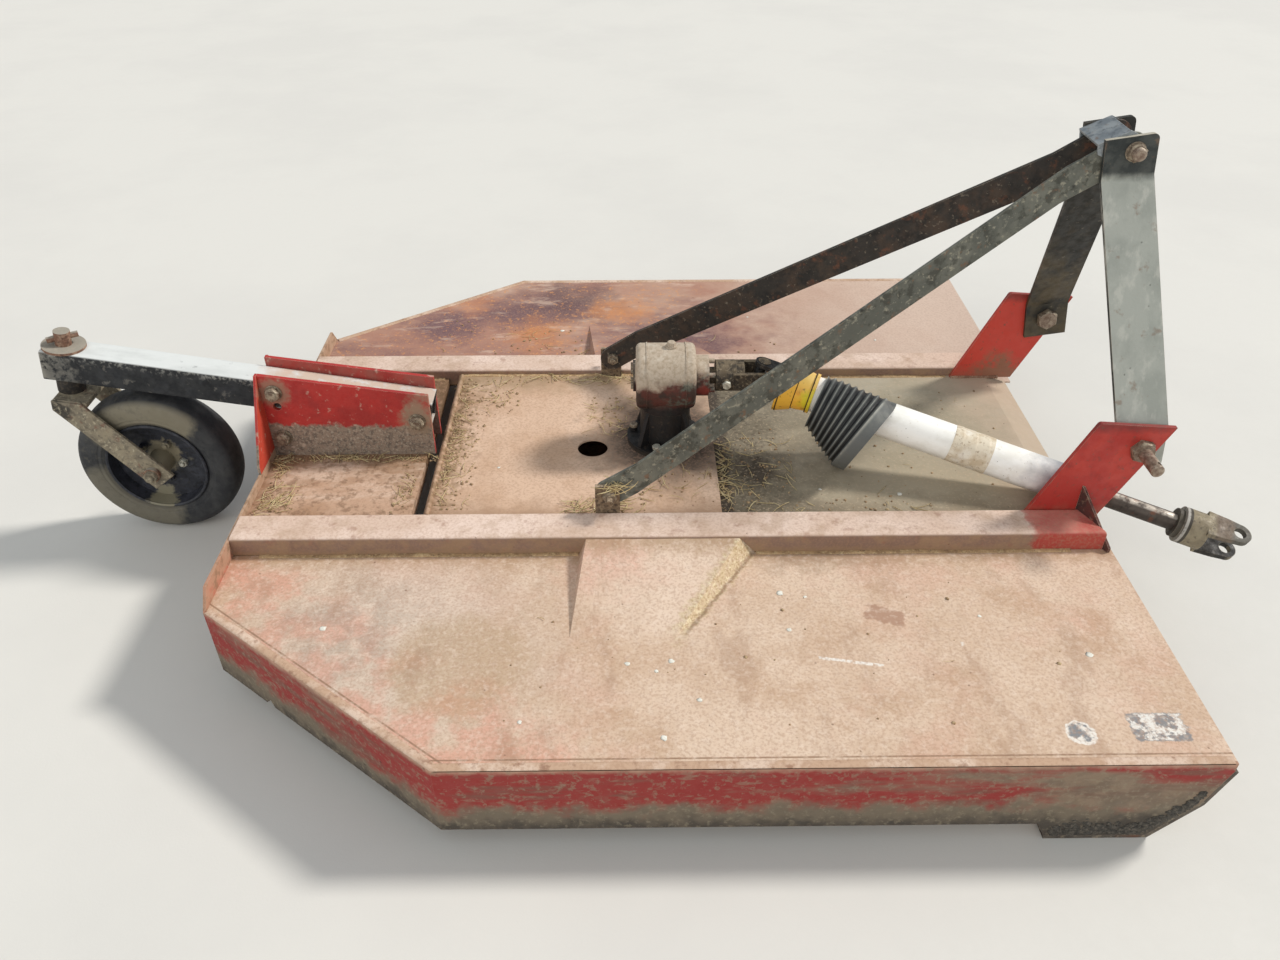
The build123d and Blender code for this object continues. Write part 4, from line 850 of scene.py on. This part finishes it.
hub_nut = turned(hub_bolt + (0, hub_out, 0), (0, 1, 0), hexagon(0.019, 0.0065, stub=0.004, stub_r=0.006))
skin("clamp_bolt_nut", hub_nut, "frame", nut_steel)
yaw_at_rest, pitch_at_rest = math.radians(-19.9), math.radians(-11.4)
ahead = np.array([math.cos(yaw_at_rest), math.sin(yaw_at_rest), 0.0]) * math.cos(pitch_at_rest)
ahead[2] = math.sin(pitch_at_rest)
over = np.array([-ahead[2], 0.0, ahead[0]]) / math.hypot(ahead[0], ahead[2])
across = np.cross(over, ahead)
cap_rows = [(0, 0.0152, 0), (0.0012, 0.0152, 0), (0.0014, 0.0118, 0), (0.003, 0.0112, 0), (0.0034, 0.004, 0)]
ear_out = 0.0372
skin("cross_caps_input", both(joint, ear_out, cap_rows), "cross", forged)
outer_caps = [turned(joint + side * ear_out * over, side * over, cap_rows) for side in (-1, 1)]
skin("cross_caps_outer", outer_caps, "cross", forged)

# Driveshaft guard: a yellow collar moulded with two steps, a black ribbed cone that has slipped and hangs
# on the tube, and a pale plastic tube with worn tape round it.
collar_yellow = finish("collar_yellow", (250, 192, 66), [
    patches((226, 150, 44), 0.6, 0.03, 0.5, 0.64),
    # Painted highlight: the upward faces are painted paler yellow as light on them.
    wash((253, 220, 136), 0.6, ("up", 0.3, 0.9)),
    patches((96, 74, 36), 0.7, 0.012, 0.58, 0.66),
    wash((226, 214, 40), 0.8, ("near", joint + 0.134 * ahead - 0.04 * across, 0.035, 0.02, 0.008, 0.02)),
], rough=(0.4, 0.65), grain=((0.01, 0.0004),), edge=((120, 88, 40), 0.5))
dress(collar_yellow, "guard_collar")
crease_rows = [(-0.0013, -0.0006, 0), (-0.0013, 0.0008, 0), (0.0013, 0.0008, 0), (0.0013, -0.0006, 0)]
crease_black = finish("crease_black", (70, 52, 26), [
    patches((40, 32, 20), 0.7, 0.01),
], grain=((0.004, 0.0003),))
creases = []
for distance, radius in ((0.0585, 0.0668), (0.0925, 0.0488), (0.1255, 0.0475)):
    rows = [(height, radius + out, flats) for height, out, flats in crease_rows]
    creases.append(turned(joint + distance * ahead, ahead, rows, columns=64))
skin("collar_creases", creases, "driveshaft", crease_black, wrap=ring_shut)
cone_black = finish("cone_black", (15, 16, 18), [
    # Painted highlight: the rib crests, read from the mark, are painted pale grey, leaving the valleys darker
    # as painted shade.
    wash((104, 107, 105), 0.9, ("mark", 0.2, 0.8)),
    patches((170, 170, 160), 0.85, 0.03, 0.3, 0.5, ("mark", 0.8, 0.98), ("up", -0.5, 0.5)),
    patches((124, 124, 116), 0.5, 0.02, 0.44, 0.6, ("up", 0.3, 0.95), ("mark", 0.2, 0.7)),
    specks((188, 186, 174), 0.6, 0.015, 0.15, 0.04, 0.12),
], rough=(0.4, 0.7), grain=((0.004, 0.0003),), rounded=0.0)
cone_turn = math.radians(36)
drop = -math.cos(cone_turn) * over - math.sin(cone_turn) * across


def ribbed_cone(ribs=9, depth=0.0065, wall=0.004, band=0.030, columns=112):
    """The cone's wall, out and back: the ring of share s stands at 145 + 115 s mm along the shaft, its radius
    is 65 + 35 s mm and it leans 5 + 14 s degrees. Outside, the radius is less by depth times v to the power
    0.7, v being half of one less the cosine of 2 pi s times the rib spaces; inside it is less by depth and
    wall. Nothing comes nearer the shaft's axis than the tube."""
    out = np.linspace(0, 1, (ribs - 1) * 9 + 1)
    valley = (0.5 - 0.5 * np.cos(2 * np.pi * out * (ribs - 1))) ** 0.7
    beyond = np.array([0.25, 0.55, 0.8, 0.95, 1.0])
    back = np.linspace(1, 0, 26)
    share = np.r_[out, np.ones(len(beyond) * 2 - 1), back]
    past = np.r_[np.zeros(len(out)), beyond * band, beyond[-2::-1] * band, np.zeros(len(back))]
    full = 0.065 + 0.035 * share
    inside = np.full(len(back), depth + wall)
    less = np.r_[depth * valley, beyond * 0.009, beyond[-2::-1] * 0.009 + wall, inside]
    lean = np.radians(5 + 14 * share)
    normal = np.cos(lean)[:, None] * ahead + np.sin(lean)[:, None] * drop
    first = unit(drop - (normal @ drop)[:, None] * normal)
    on_axis = joint + (0.145 + 0.115 * share)[:, None] * ahead
    middle = on_axis + (full - 0.042 - 0.009)[:, None] * drop + past[:, None] * normal
    around = once_round(columns)
    slack = 0.0007 * np.sin(2 * around[None] + 5 * share[:, None])
    slack = slack + 0.0005 * np.sin(5 * around[None] - 9 * share[:, None])
    reach = (full - less)[:, None] + slack
    points = middle[:, None] + reach[..., None] * ringed(around, first, np.cross(normal, first))
    off = points - joint
    off -= (off @ ahead)[..., None] * ahead
    far = np.linalg.norm(off, axis=-1)
    crest = np.r_[1 - valley, np.linspace(0.75, 0.55, len(beyond) * 2 - 1), np.full(len(back), 0.1)]
    return points + off * (np.maximum(0.0424 / far, 1.0) - 1.0)[..., None], np.repeat(crest, columns)


cone_points, cone_marks = ribbed_cone()
cone = skin(
    "ribbed_cone", cone_points, "driveshaft", cone_black,
    wrap=ring_shut, crease=60, marks=cone_marks,
)
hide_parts("guard_cone")


def on_shaft(low, high, *border):
    """A mask between two distances from the joint along the driveshaft's axis."""
    return ahead, low + float(joint @ ahead), high + float(joint @ ahead), *border


tube_plastic = finish("tube_plastic", (253, 252, 247), [
    patches((236, 233, 224), 0.6, 0.06, stretch=(1, 1, 1.6)),
    patches((170, 150, 120), 0.35, 0.02, 0.62, 0.72),
    wash((132, 136, 146), 0.85, on_shaft(0.62, 0.7, 0.02, 0.03)),
    wash((178, 160, 130), 0.35, ("up", -0.3, -0.9)),
    specks((96, 78, 56), 0.7, 0.009, 0.3, 0.05, 0.16),
], rough=(0.45, 0.7), grain=((0.03, 0.0006), (0.005, 0.0001)))
tape_pale = finish("tape_pale", (224, 212, 190), [
    patches((196, 176, 146), 0.7, 0.03, 0.46, 0.6),
    patches((146, 118, 84), 0.6, 0.008, 0.56, 0.64),
    patches((244, 240, 230), 0.6, 0.05, 0.5, 0.62),
], rough=(0.45, 0.7), grain=((0.012, 0.0008),))
dress(tube_plastic, "guard_tube")


def wound_tape(start, stop, radius, rows=46, columns=72):
    """Tape wound round the tube, once round in 30 mm: it stands 0.6 mm and 0.8 w squared mm off the radius, w
    being the share of the winding passed, with wrinkles of 0.2 mm; it comes back along the inside."""
    along = np.r_[np.linspace(start, stop, rows), stop, start]
    around = once_round(columns)
    winding = (along[:, None] / 0.030 + around[None] / (2 * np.pi)) % 1.0
    reach = radius + 0.0006 + 0.0008 * winding ** 2 + 0.0002 * np.sin(7 * around[None] + 90 * along[:, None])
    reach[-2:] = radius - 0.0004
    return joint + along[:, None, None] * ahead + reach[..., None] * ringed(around, over, across)[None]


tape = wound_tape(0.462, 0.553, 0.042)
skin("tube_tape", tape, "driveshaft", tape_pale, wrap=ring_shut, crease=60)
shaft_bare = finish("shaft_bare", (84, 74, 66), [
    patches((190, 180, 168), 0.8, 0.02, 0.35, 0.5, ("facing", (-0.1, -0.25, 0.96), 0.86, 0.93)),
    wash((54, 46, 42), 0.6, ("up", 0.35, 0.1)),
    patches((48, 42, 38), 0.6, 0.01, 0.54, 0.66),
    patches((136, 78, 50), 0.5, 0.03, 0.55, 0.66),
], rough=(0.4, 0.75), metal=0.3, grain=((0.006, 0.0005),), edge=((158, 146, 126), 0.6))
dress(shaft_bare, "profile_shaft")
ear_turn = math.radians(20)
ear_up = math.cos(ear_turn) * over - math.sin(ear_turn) * across
on_ear = float(joint @ ear_up)
end_forged = finish("end_forged", (134, 122, 100), [
    patches((160, 148, 122), 0.6, 0.02),
    wash((108, 92, 80), 0.8, on_shaft(1.044, 1.052, 0.004, 0.02)),
    wash((92, 92, 86), 0.8, on_shaft(1.082, 1.092, 0.004, 0.02)),
    wash((44, 40, 38), 0.8, on_shaft(0.985, 0.9835)),
    wash((176, 172, 166), 0.85, on_shaft(0.984, 0.9855), on_shaft(0.9925, 0.991)),
    wash((40, 37, 36), 0.85, on_shaft(0.991, 0.9925), on_shaft(0.9985, 0.997)),
    # Painted shade: between the ears, under the top one, the forging is painted near black.
    wash((18, 17, 17), 0.94, (ear_up, on_ear + 0.0262, on_ear + 0.0235), on_shaft(1.0375, 1.0385)),
    wash(
        (120, 110, 90), 0.85, (ear_up, on_ear - 0.024, on_ear - 0.0255),
        on_shaft(1.104, 1.112, 0.004, 0.02),
    ),
    patches((70, 62, 54), 0.6, 0.01, 0.54, 0.66),
], rough=(0.5, 0.85), metal=0.1, grain=((0.008, 0.0008), (0.004, 0.0004)), edge=((176, 166, 146), 0.6),
    rounded=0.003)
dress(end_forged, "end_yoke")

# Tail: two bracket plates standing on the rear bay, fresh red above and caked grey below, with the square
# boom bolted between them and its top bleached pale.
grey_below = [((0.047, 0, 1), 0.288, 0.279, 0.012, 0.03), ("right", 0.2, 0.6)]
bracket_coat = finish("bracket_coat", (178, 48, 43), [
    patches((146, 38, 36), 0.6, 0.08),
    wash((142, 128, 112), 0.95, *grey_below),
    patches((92, 82, 74), 0.75, 0.008, 0.48, 0.6, *grey_below),
    patches((178, 168, 152), 0.6, 0.006, 0.53, 0.62, *grey_below),
    patches(
        (150, 130, 108), 0.8, 0.02, 0.3, 0.5, ("near", (-0.478, -0.047, 0.35), 0.062, 0.044, 0.012, 0.02),
    ),
    # Painted light: the rear flange, facing forward, is painted a brighter orange-red as sunlit paint.
    wash((198, 72, 50), 0.92, ("fore", 0.4, 0.8), ("x", -0.79, -0.83), ("z", 0.245, 0.262, 0.01, 0.03)),
    patches((150, 96, 84), 0.7, 0.05, 0.3, 0.6, ("y", 0.0, 0.02), ("right", 0.5, 0.9)),
    patches((196, 176, 158), 0.6, 0.02, 0.6, 0.68),
    wash((150, 128, 106), 0.7, ("near", (-0.827, -0.047, 0.408), 0.045, 0.028, 0.008, 0.01)),
    wash((150, 128, 106), 0.7, ("near", (-0.504, -0.047, 0.327), 0.05, 0.028, 0.01, 0.01)),
    specks((70, 52, 46), 0.7, 0.02, 0.2, 0.04, 0.14),
], rough=(0.5, 0.85), grain=((0.02, 0.0008), (0.005, 0.0005)), edge=((214, 180, 160), 0.8), rounded=0.0015)
boom_coat = finish("boom_coat", (22, 24, 28), [
    patches((40, 42, 46), 0.7, 0.04, 0.48, 0.6),
    patches((120, 116, 108), 0.5, 0.02, 0.6, 0.68),
    patches((150, 146, 136), 0.75, 0.015, 0.4, 0.5, ("x", -1.26, -1.34, 0.03, 0.03)),
    wash((224, 227, 225), 0.93, ("up", 0.5, 0.9)),
    patches((198, 201, 199), 0.6, 0.05, 0.46, 0.62, ("up", 0.5, 0.9), stretch=(0.4, 1, 1)),
    patches(
        (164, 163, 156), 0.7, 0.012, 0.5, 0.6, ((0.16779, 0.0, 0.98582), 0.262, 0.281, 0.004, 0.01),
        ("right", 0.5, 0.9),
    ),
    patches((206, 182, 162), 0.85, 0.03, 0.3, 0.5, ("up", 0.5, 0.9), ("x", -0.88, -0.82, 0.02, 0.03)),
    patches((60, 62, 66), 0.5, 0.05, 0.64, 0.72, ("up", 0.5, 0.9)),
    specks(white_fleck, 0.8, 0.02, 0.2, 0.03, 0.1),
], rough=(0.45, 0.8), grain=((0.05, 0.001), (0.005, 0.0004)), edge=((190, 188, 180), 0.85), rounded=0.004)
dress(bracket_coat, "tail_bracket_right", "tail_bracket_left", "tail_gusset_right", "tail_gusset_left")
dress(boom_coat, "tail_boom")
dress(nut_steel, "boom_bolts")
bracket_out = 0.0477
boom_heads = []
for x, z in ((-0.827, 0.408), (-0.828, 0.285), (-0.504, 0.327)):
    for side in (-1, 1):
        rows = hexagon(0.030, 0.013, washer=0.003, stub=0.007 if side > 0 else 0.0, stub_r=0.009)
        boom_heads.append(turned((x, side * bracket_out, z), (0, side, 0), rows, spin=2.0 * x + z))
skin("tail_bolt_heads", boom_heads[0::2], "frame", nut_steel)
skin("tail_bolt_nuts", boom_heads[1::2], "frame", nut_steel)

# Caster: a rusty pin through the boom with its washer and cross bolt, a bush under the boom, and a fork of
# flat bar welded to a plate that turns under the bush, all under a crust of tan dust.
pin_rust = finish("pin_rust", (126, 92, 74), [
    patches((168, 140, 118), 0.7, 0.012),
    patches((78, 54, 44), 0.7, 0.008, 0.5, 0.62),
    wash((160, 158, 146), 0.75, ("up", 0.55, 0.95)),
], grain=((0.005, 0.0006),), edge=((196, 176, 152), 0.6))
fork_crust = finish("fork_crust", (132, 122, 104), [
    patches((158, 146, 122), 0.7, 0.05),
    patches((96, 88, 76), 0.7, 0.012, 0.5, 0.62),
    patches((120, 80, 64), 0.6, 0.03, 0.6, 0.68),
    # Painted shade: a dark patch at the top of the right arm, under the boom.
    patches(
        (42, 40, 38), 0.85, 0.01, 0.35, 0.5, ("near", (-1.325, -0.066, 0.375), 0.032, 0.018, 0.01, 0.02),
    ),
    patches((196, 186, 160), 0.6, 0.008, 0.57, 0.66),
], grain=((0.012, 0.0014), (0.004, 0.0006)), edge=((176, 164, 140), 0.7))
dress(pin_rust, "caster_pin", "wheel_axle")
pin_top = np.array([-1.298, 0.0, 0.5082])
boom_slope = math.radians(9.659)
pin_up = np.array([math.sin(boom_slope), 0.0, math.cos(boom_slope)])
pin_fore = np.array([math.cos(boom_slope), 0.0, -math.sin(boom_slope)])
plate_top, plate_under = -0.113, -0.126
arm_in, arm_out, arm_half = 0.058, 0.066, 0.0325


def flat_bar(outline, side, chamfer=0.0012, pitch=0.008):
    """A flat bar: its convex outline in the plane of travel, cut every few millimetres, between two faces,
    with both rims drawn in toward the outline's middle by a small chamfer."""
    corners = np.asarray(outline, float)
    closed = np.vstack([corners, corners[:1]])
    steps = lengths(closed)
    line = places(closed, np.unique(np.r_[np.arange(0, steps[-1], pitch), steps])[:-1])
    inward = unit(corners.mean(0) - line)
    rings = []
    for y, drawn in ((arm_in, chamfer), (arm_in + chamfer, 0), (arm_out - chamfer, 0), (arm_out, chamfer)):
        ring = line + drawn * inward
        rings.append(np.stack([ring[:, 0], np.full(len(ring), side * y), ring[:, 1]], -1))
    return rings


wheel_at = np.array([-1.160, 0.0, 0.193])
wheel_plan = wheel_at[[0, 2]]
plate_at = pin_top + plate_top * pin_up
fork_start = pin_top + (plate_top + 0.002) * pin_up
fork_down = unit(wheel_plan - fork_start[[0, 2]])
fork_over = np.array([-fork_down[1], fork_down[0]])
fork_foot = wheel_plan + 0.035 * fork_down
arm_outline = [
    (plate_at - 0.020 * pin_fore)[[0, 2]],
    (plate_at + 0.0465 * pin_fore)[[0, 2]],
    fork_foot + arm_half * fork_over,
    fork_foot - arm_half * fork_over,
    (-1.3405, 0.3770),
]
for side, name in hands:
    arm_points = flat_bar(arm_outline, side)
    arm = skin(f"flat_arm_{name}", arm_points, "caster", fork_crust, crease=25)
    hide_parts(f"fork_arm_{name}")
plate_ring = np.array([(-0.020, -0.0578), (0.056, -0.0578), (0.056, 0.0578), (-0.020, 0.0578)])
plate_rows = [(plate_under, 0.97), (plate_under + 0.001, 1.0), (plate_top - 0.001, 1.0), (plate_top, 0.97)]
plate_points = [
    pin_top + height * pin_up + share * (plate_ring[:, :1] - 0.018) * pin_fore + 0.018 * pin_fore
    + share * plate_ring[:, 1:] * (0, 1, 0)
    for height, share in plate_rows
]
crown_plate = skin("crown_plate", plate_points, "caster", fork_crust, crease=25)
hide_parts("caster_crown")
bush_rows = [(-0.1135, 0.030, 0), (-0.0765, 0.030, 0), (-0.0755, 0.029, 0)]
# Painted shade: the bush is painted dark as it stands in the boom's shade.
shaded_bush = finish("shaded_bush", (46, 42, 38), [
    patches((84, 74, 62), 0.7, 0.01),
    patches((26, 24, 24), 0.6, 0.006),
], grain=((0.005, 0.0006),))
skin("crown_bush", turned(pin_top, pin_up, bush_rows, columns=32), "caster", shaded_bush)
crown_welds = [
    bead([plate_at + fore * pin_fore + (0, side * 0.058, 0) for fore in (-0.017, 0.044)], 0.0022)
    for side in (-1, 1)
]
skin("crown_welds", crown_welds, "caster", fork_crust)
axle_nuts = both(wheel_at, 0.0781, hexagon(0.030, 0.010, stub=0.006, stub_r=0.010), spin=0.3)
skin("axle_nuts", axle_nuts, "caster", fork_crust)

# Tail wheel: a bald solid tyre, dusty, its right sidewall painted pale in two sunlit patches and left dark
# elsewhere as shade, on a black pressed rim with its nuts.
tyre_rubber = finish("tyre_rubber", (40, 41, 44), [
    patches((58, 58, 58), 0.7, 0.05),
    patches((76, 76, 76), 0.6, 0.1, 0.48, 0.62, stretch=(1, 1, 0.5)),
    # Painted light: two patches of the dusty right sidewall are painted pale tan as sunlit; the rest stays
    # dark as shade.
    wash(
        (134, 126, 106), 0.85, ("near", (-1.175, -0.045, 0.355), 0.15, 0.128, 0.01, 0.03),
        ("y", -0.03, -0.042),
    ),
    wash(
        (122, 116, 100), 0.75, ("near", (-1.27, -0.045, 0.06), 0.15, 0.12, 0.012, 0.03),
        ("y", -0.03, -0.042),
    ),
    patches((92, 88, 78), 0.4, 0.012, 0.52, 0.64, ("x", -1.1, -1.18, 0.03, 0.04)),
    specks(white_fleck, 0.6, 0.025, 0.15, 0.03, 0.08),
], rough=(0.6, 0.85), grain=((0.03, 0.0008), (0.004, 0.0003)), rounded=0.0)
rim_black = finish("rim_black", (40, 42, 50), [
    patches((62, 64, 74), 0.7, 0.03),
    patches((132, 124, 104), 0.5, 0.06, 0.62, 0.7),
    patches((20, 20, 22), 0.7, 0.01, 0.54, 0.62),
    wash((146, 136, 112), 0.92, ("near", (-1.152, -0.03, 0.206), 0.056, 0.044, 0.012, 0.02)),
    wash((140, 134, 112), 0.92, ("near", (-1.178, -0.03, 0.09), 0.04, 0.032, 0.008, 0.02)),
], rough=(0.45, 0.8), grain=((0.01, 0.0006),), edge=((110, 108, 104), 0.6))
half_tyre = np.array(
    [
        (0.0, 0.1930), (0.022, 0.1915), (0.037, 0.1845), (0.0445, 0.170), (0.045, 0.150),
        (0.0440, 0.1395), (0.0425, 0.1385), (0.0425, 0.131), (0.0400, 0.1285), (0.036, 0.1213),
    ]
)


def solid_tyre(half, columns=128, cuts=2):
    """A tyre turned about its axle: its section is the half outline and its mirror, with corners cut twice at
    their quarter points, and the radius shrinks up to 0.5 mm where the tread has worn flat."""
    line = np.concatenate([half[::-1] * (-1, 1), half[1:]])
    for cut in range(cuts):
        inner = np.stack([0.75 * line[:-1] + 0.25 * line[1:], 0.25 * line[:-1] + 0.75 * line[1:]], 1)
        line = np.concatenate([line[:1], inner.reshape(-1, 2), line[-1:]])
    around = once_round(columns)
    worn = 0.0005 * (0.5 + 0.5 * np.sin(3 * around + 1.0)) * (line[:, 1:] > 0.186)
    reach = line[:, 1:] - worn
    points = np.empty((len(line), columns, 3))
    points[..., 0] = wheel_at[0] + reach * np.cos(around)
    points[..., 1] = line[:, :1]
    points[..., 2] = wheel_at[2] + reach * np.sin(around)
    return points


tyre = skin("solid_tyre", solid_tyre(half_tyre), "wheel", tyre_rubber, wrap=ring_shut, crease=50)
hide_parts("tail_tyre")
dress(rim_black, "tail_rim")
nut_circle, rim_half = 0.052, 0.0043
rim_nut = hexagon(0.019, 0.012, stub=0.006, stub_r=0.0055)
rim_nuts = []
for side in (-1, 1):
    for way in np.radians(np.arange(5) * 72 + 63):
        c, s = math.cos(way), math.sin(way)
        nut_at = wheel_at + (nut_circle * c, side * rim_half, nut_circle * s)
        rim_nuts.append(turned(nut_at, (0, side, 0), rim_nut, spin=c))
bright_nut = rim_nuts.pop(4)
skin("rim_nuts", rim_nuts, "wheel", rim_black)
skin("rim_nut_bright", bright_nut, "wheel", bright_zinc)
lip_rows = [(0, 0.1205, 0), (0.003, 0.1215, 0), (0.0048, 0.1185, 0), (0.003, 0.1145, 0), (-0.001, 0.1148, 0)]
rim_lips = both(wheel_at, 0.038, lip_rows, columns=96)
skin("rim_lips", rim_lips, "wheel", rim_black, wrap=ring_shut)

# Rotor: a round pan under the deck with two swinging blades on their bolts, rusted all over, with the
# edges worn bright.
rotor_rust = finish("rotor_rust", (66, 48, 38), [
    patches((92, 66, 48), 0.7, 0.06),
    patches((66, 52, 44), 0.7, 0.02, 0.5, 0.62),
    patches((96, 92, 70), 0.6, 0.03, 0.55, 0.66),
], rough=(0.5, 0.85), metal=0.2, grain=((0.02, 0.001), (0.005, 0.0004)), edge=((168, 156, 140), 0.8))
dress(rotor_rust, "rotor_pan", "blade_bolts", "blade_a", "blade_b")

# Litter: hay, crumbs of dry soil and bird lime that lie loose on the plates, thick in the corners where
# rain leaves them, and a low lip along the centre plate's rear edge.
hay_pale = finish("hay_pale", (206, 186, 138), [
    patches((168, 142, 92), 0.7, 0.01),
    patches((226, 212, 172), 0.5, 0.02),
], grain=((0.002, 0.0002),), rounded=0.0)
crumb_soil = finish("crumb_soil", (168, 140, 106), [
    patches((118, 94, 68), 0.8, 0.02, 0.4, 0.6),
    patches((206, 184, 144), 0.7, 0.012, 0.5, 0.6),
], grain=((0.002, 0.0005),), rounded=0.0)
bird_lime = finish("bird_lime", (236, 234, 224), [
    patches((206, 204, 190), 0.6, 0.006),
], grain=((0.002, 0.0002),), rounded=0.0)
on_side, on_front, on_rear, on_centre = 0.2115, 0.2315, 0.2325, 0.2425
# Each heap: its middle, how far it spreads along x and y, its straws, its crumbs, and how coarse it is.
heaps = (
    ((-0.045, 0.10, on_centre), 0.035, 0.05, 34, 70, 1.0),
    ((-0.055, -0.276, on_centre), 0.05, 0.013, 44, 60, 1.5),
    ((-0.036, -0.312, 0.3255), 0.016, 0.012, 22, 0, 1.5),
    ((-0.10, 0.284, on_centre), 0.11, 0.013, 40, 90, 1.3),
    ((0.10, -0.17, on_centre), 0.05, 0.05, 18, 60, 1.2),
    ((0.222, -0.16, on_front), 0.010, 0.09, 44, 90, 1.5),
    ((0.29, -0.13, on_front), 0.055, 0.08, 34, 120, 1.3),
    ((0.40, -0.27, on_front), 0.16, 0.016, 16, 70, 1.2),
    ((-0.432, 0.0, on_centre), 0.010, 0.15, 44, 240, 1.3),
    ((-0.40, -0.05, on_centre), 0.020, 0.13, 18, 130, 1.0),
    ((-0.36, 0.20, on_centre), 0.04, 0.05, 22, 90, 1.2),
    ((-0.66, -0.066, on_rear), 0.11, 0.007, 44, 200, 1.2),
    ((-0.80, -0.235, on_rear), 0.022, 0.035, 30, 70, 1.4),
    ((-0.828, -0.09, on_rear), 0.010, 0.05, 22, 70, 1.3),
    ((-0.52, -0.20, on_rear), 0.010, 0.06, 14, 60, 1.0),
    ((0.60, 0.0, on_front), 0.18, 0.13, 12, 80, 1.0),
    ((0.30, -0.66, on_side), 0.30, 0.12, 4, 34, 0.8),
    ((-0.35, 0.60, on_side), 0.12, 0.06, 8, 50, 1.0),
    ((0.10, 0.50, on_side), 0.30, 0.04, 14, 60, 1.2),
)
most_sigmas = 1.6


def straws(feet, spread, count, coarse, length=(0.014, 0.05), radius=(0.0005, 0.0010), rows=6, columns=3):
    """Straws on a plate: each runs along its own heading, bows sideways as four times the square of its share
    less one, and one end rests up to a fifth of its length above the plate."""
    share = np.linspace(-0.5, 0.5, rows)[None, :, None]
    start = np.asarray(feet) + np.clip(rng.normal(0, 1, (count, 3)), -most_sigmas, most_sigmas) * (*spread, 0)
    long = coarse * rng.uniform(*length, count)[:, None, None]
    turn = rng.uniform(0, 2 * np.pi, count)[:, None]
    way = np.stack([np.cos(turn), np.sin(turn), np.zeros_like(turn)], -1)
    side = np.stack([-np.sin(turn), np.cos(turn), np.zeros_like(turn)], -1)
    thick = coarse * rng.uniform(*radius, count)[:, None, None]
    bow = rng.normal(0, 0.12, count)[:, None, None]
    rise = rng.uniform(0, 0.2, count)[:, None, None] * (share + 0.5)
    line = start[:, None] + long * (share * way + bow * (4 * share ** 2 - 1) * side)
    line = line + (long * rise + 1.2 * thick) * (0, 0, 1)
    ring = ringed(once_round(columns), side, np.array((0, 0, 1.0)))
    return line[:, :, None] + (thick * (1.1 - np.abs(share)))[:, :, None] * ring


hay, crumbs = [], []
for middle, along_x, along_y, straw_count, crumb_count, coarse in heaps:
    hay.append(straws(middle, (along_x, along_y), straw_count, coarse))
    drift = np.clip(rng.normal(0, 1, (crumb_count, 3)), -most_sigmas, most_sigmas)
    middles = np.asarray(middle) + drift * (1.1 * along_x, 1.1 * along_y, 0)
    if crumb_count:
        crumb_radii = 0.0012 + 0.0034 * rng.uniform(0, 1, crumb_count) ** 2
        crumbs.append(lumps(middles, crumb_radii, rows=4, columns=5))
skin("hay", np.concatenate(hay), "frame", hay_pale, crease=0)
lip_line = np.array([(-0.452, -0.304), (-0.452, 0.304)])
skin("centre_lip", ridge(lip_line, 0.006, 0.007, 0.242), "frame", middle_sheet)
skin("crumbs", np.concatenate(crumbs), "frame", crumb_soil, crease=0)
lime_at = np.array(
    [
        (0.313, -0.6345), (0.077, -0.715), (0.048, -0.740), (-0.007, -0.721), (0.058, -0.898),
        (0.358, -0.540), (0.308, -0.528), (0.882, -0.708), (0.126, -0.812), (-0.61, -0.62),
        (-0.20, -0.86), (0.70, -0.60), (0.52, 0.12), (0.44, -0.20), (-0.31, -0.12),
        (0.62, -0.22), (-0.20, 0.62), (0.36, 0.70), (0.72, 0.55),
    ]
)
lime_z = np.where(np.abs(lime_at[:, 1]) > 0.4, 0.2113, np.where(lime_at[:, 0] > 0.2, 0.2313, 0.2423))
lime_radii = rng.uniform(0.0035, 0.0075, len(lime_at))
lime_lumps = lumps(np.column_stack([lime_at, lime_z]), lime_radii, rows=4, columns=9)
lime_lumps[..., 2] = lime_z[:, None, None] + 0.16 * (lime_lumps[..., 2] - lime_z[:, None, None])
skin("bird_lime", lime_lumps, "frame", bird_lime, crease=0)
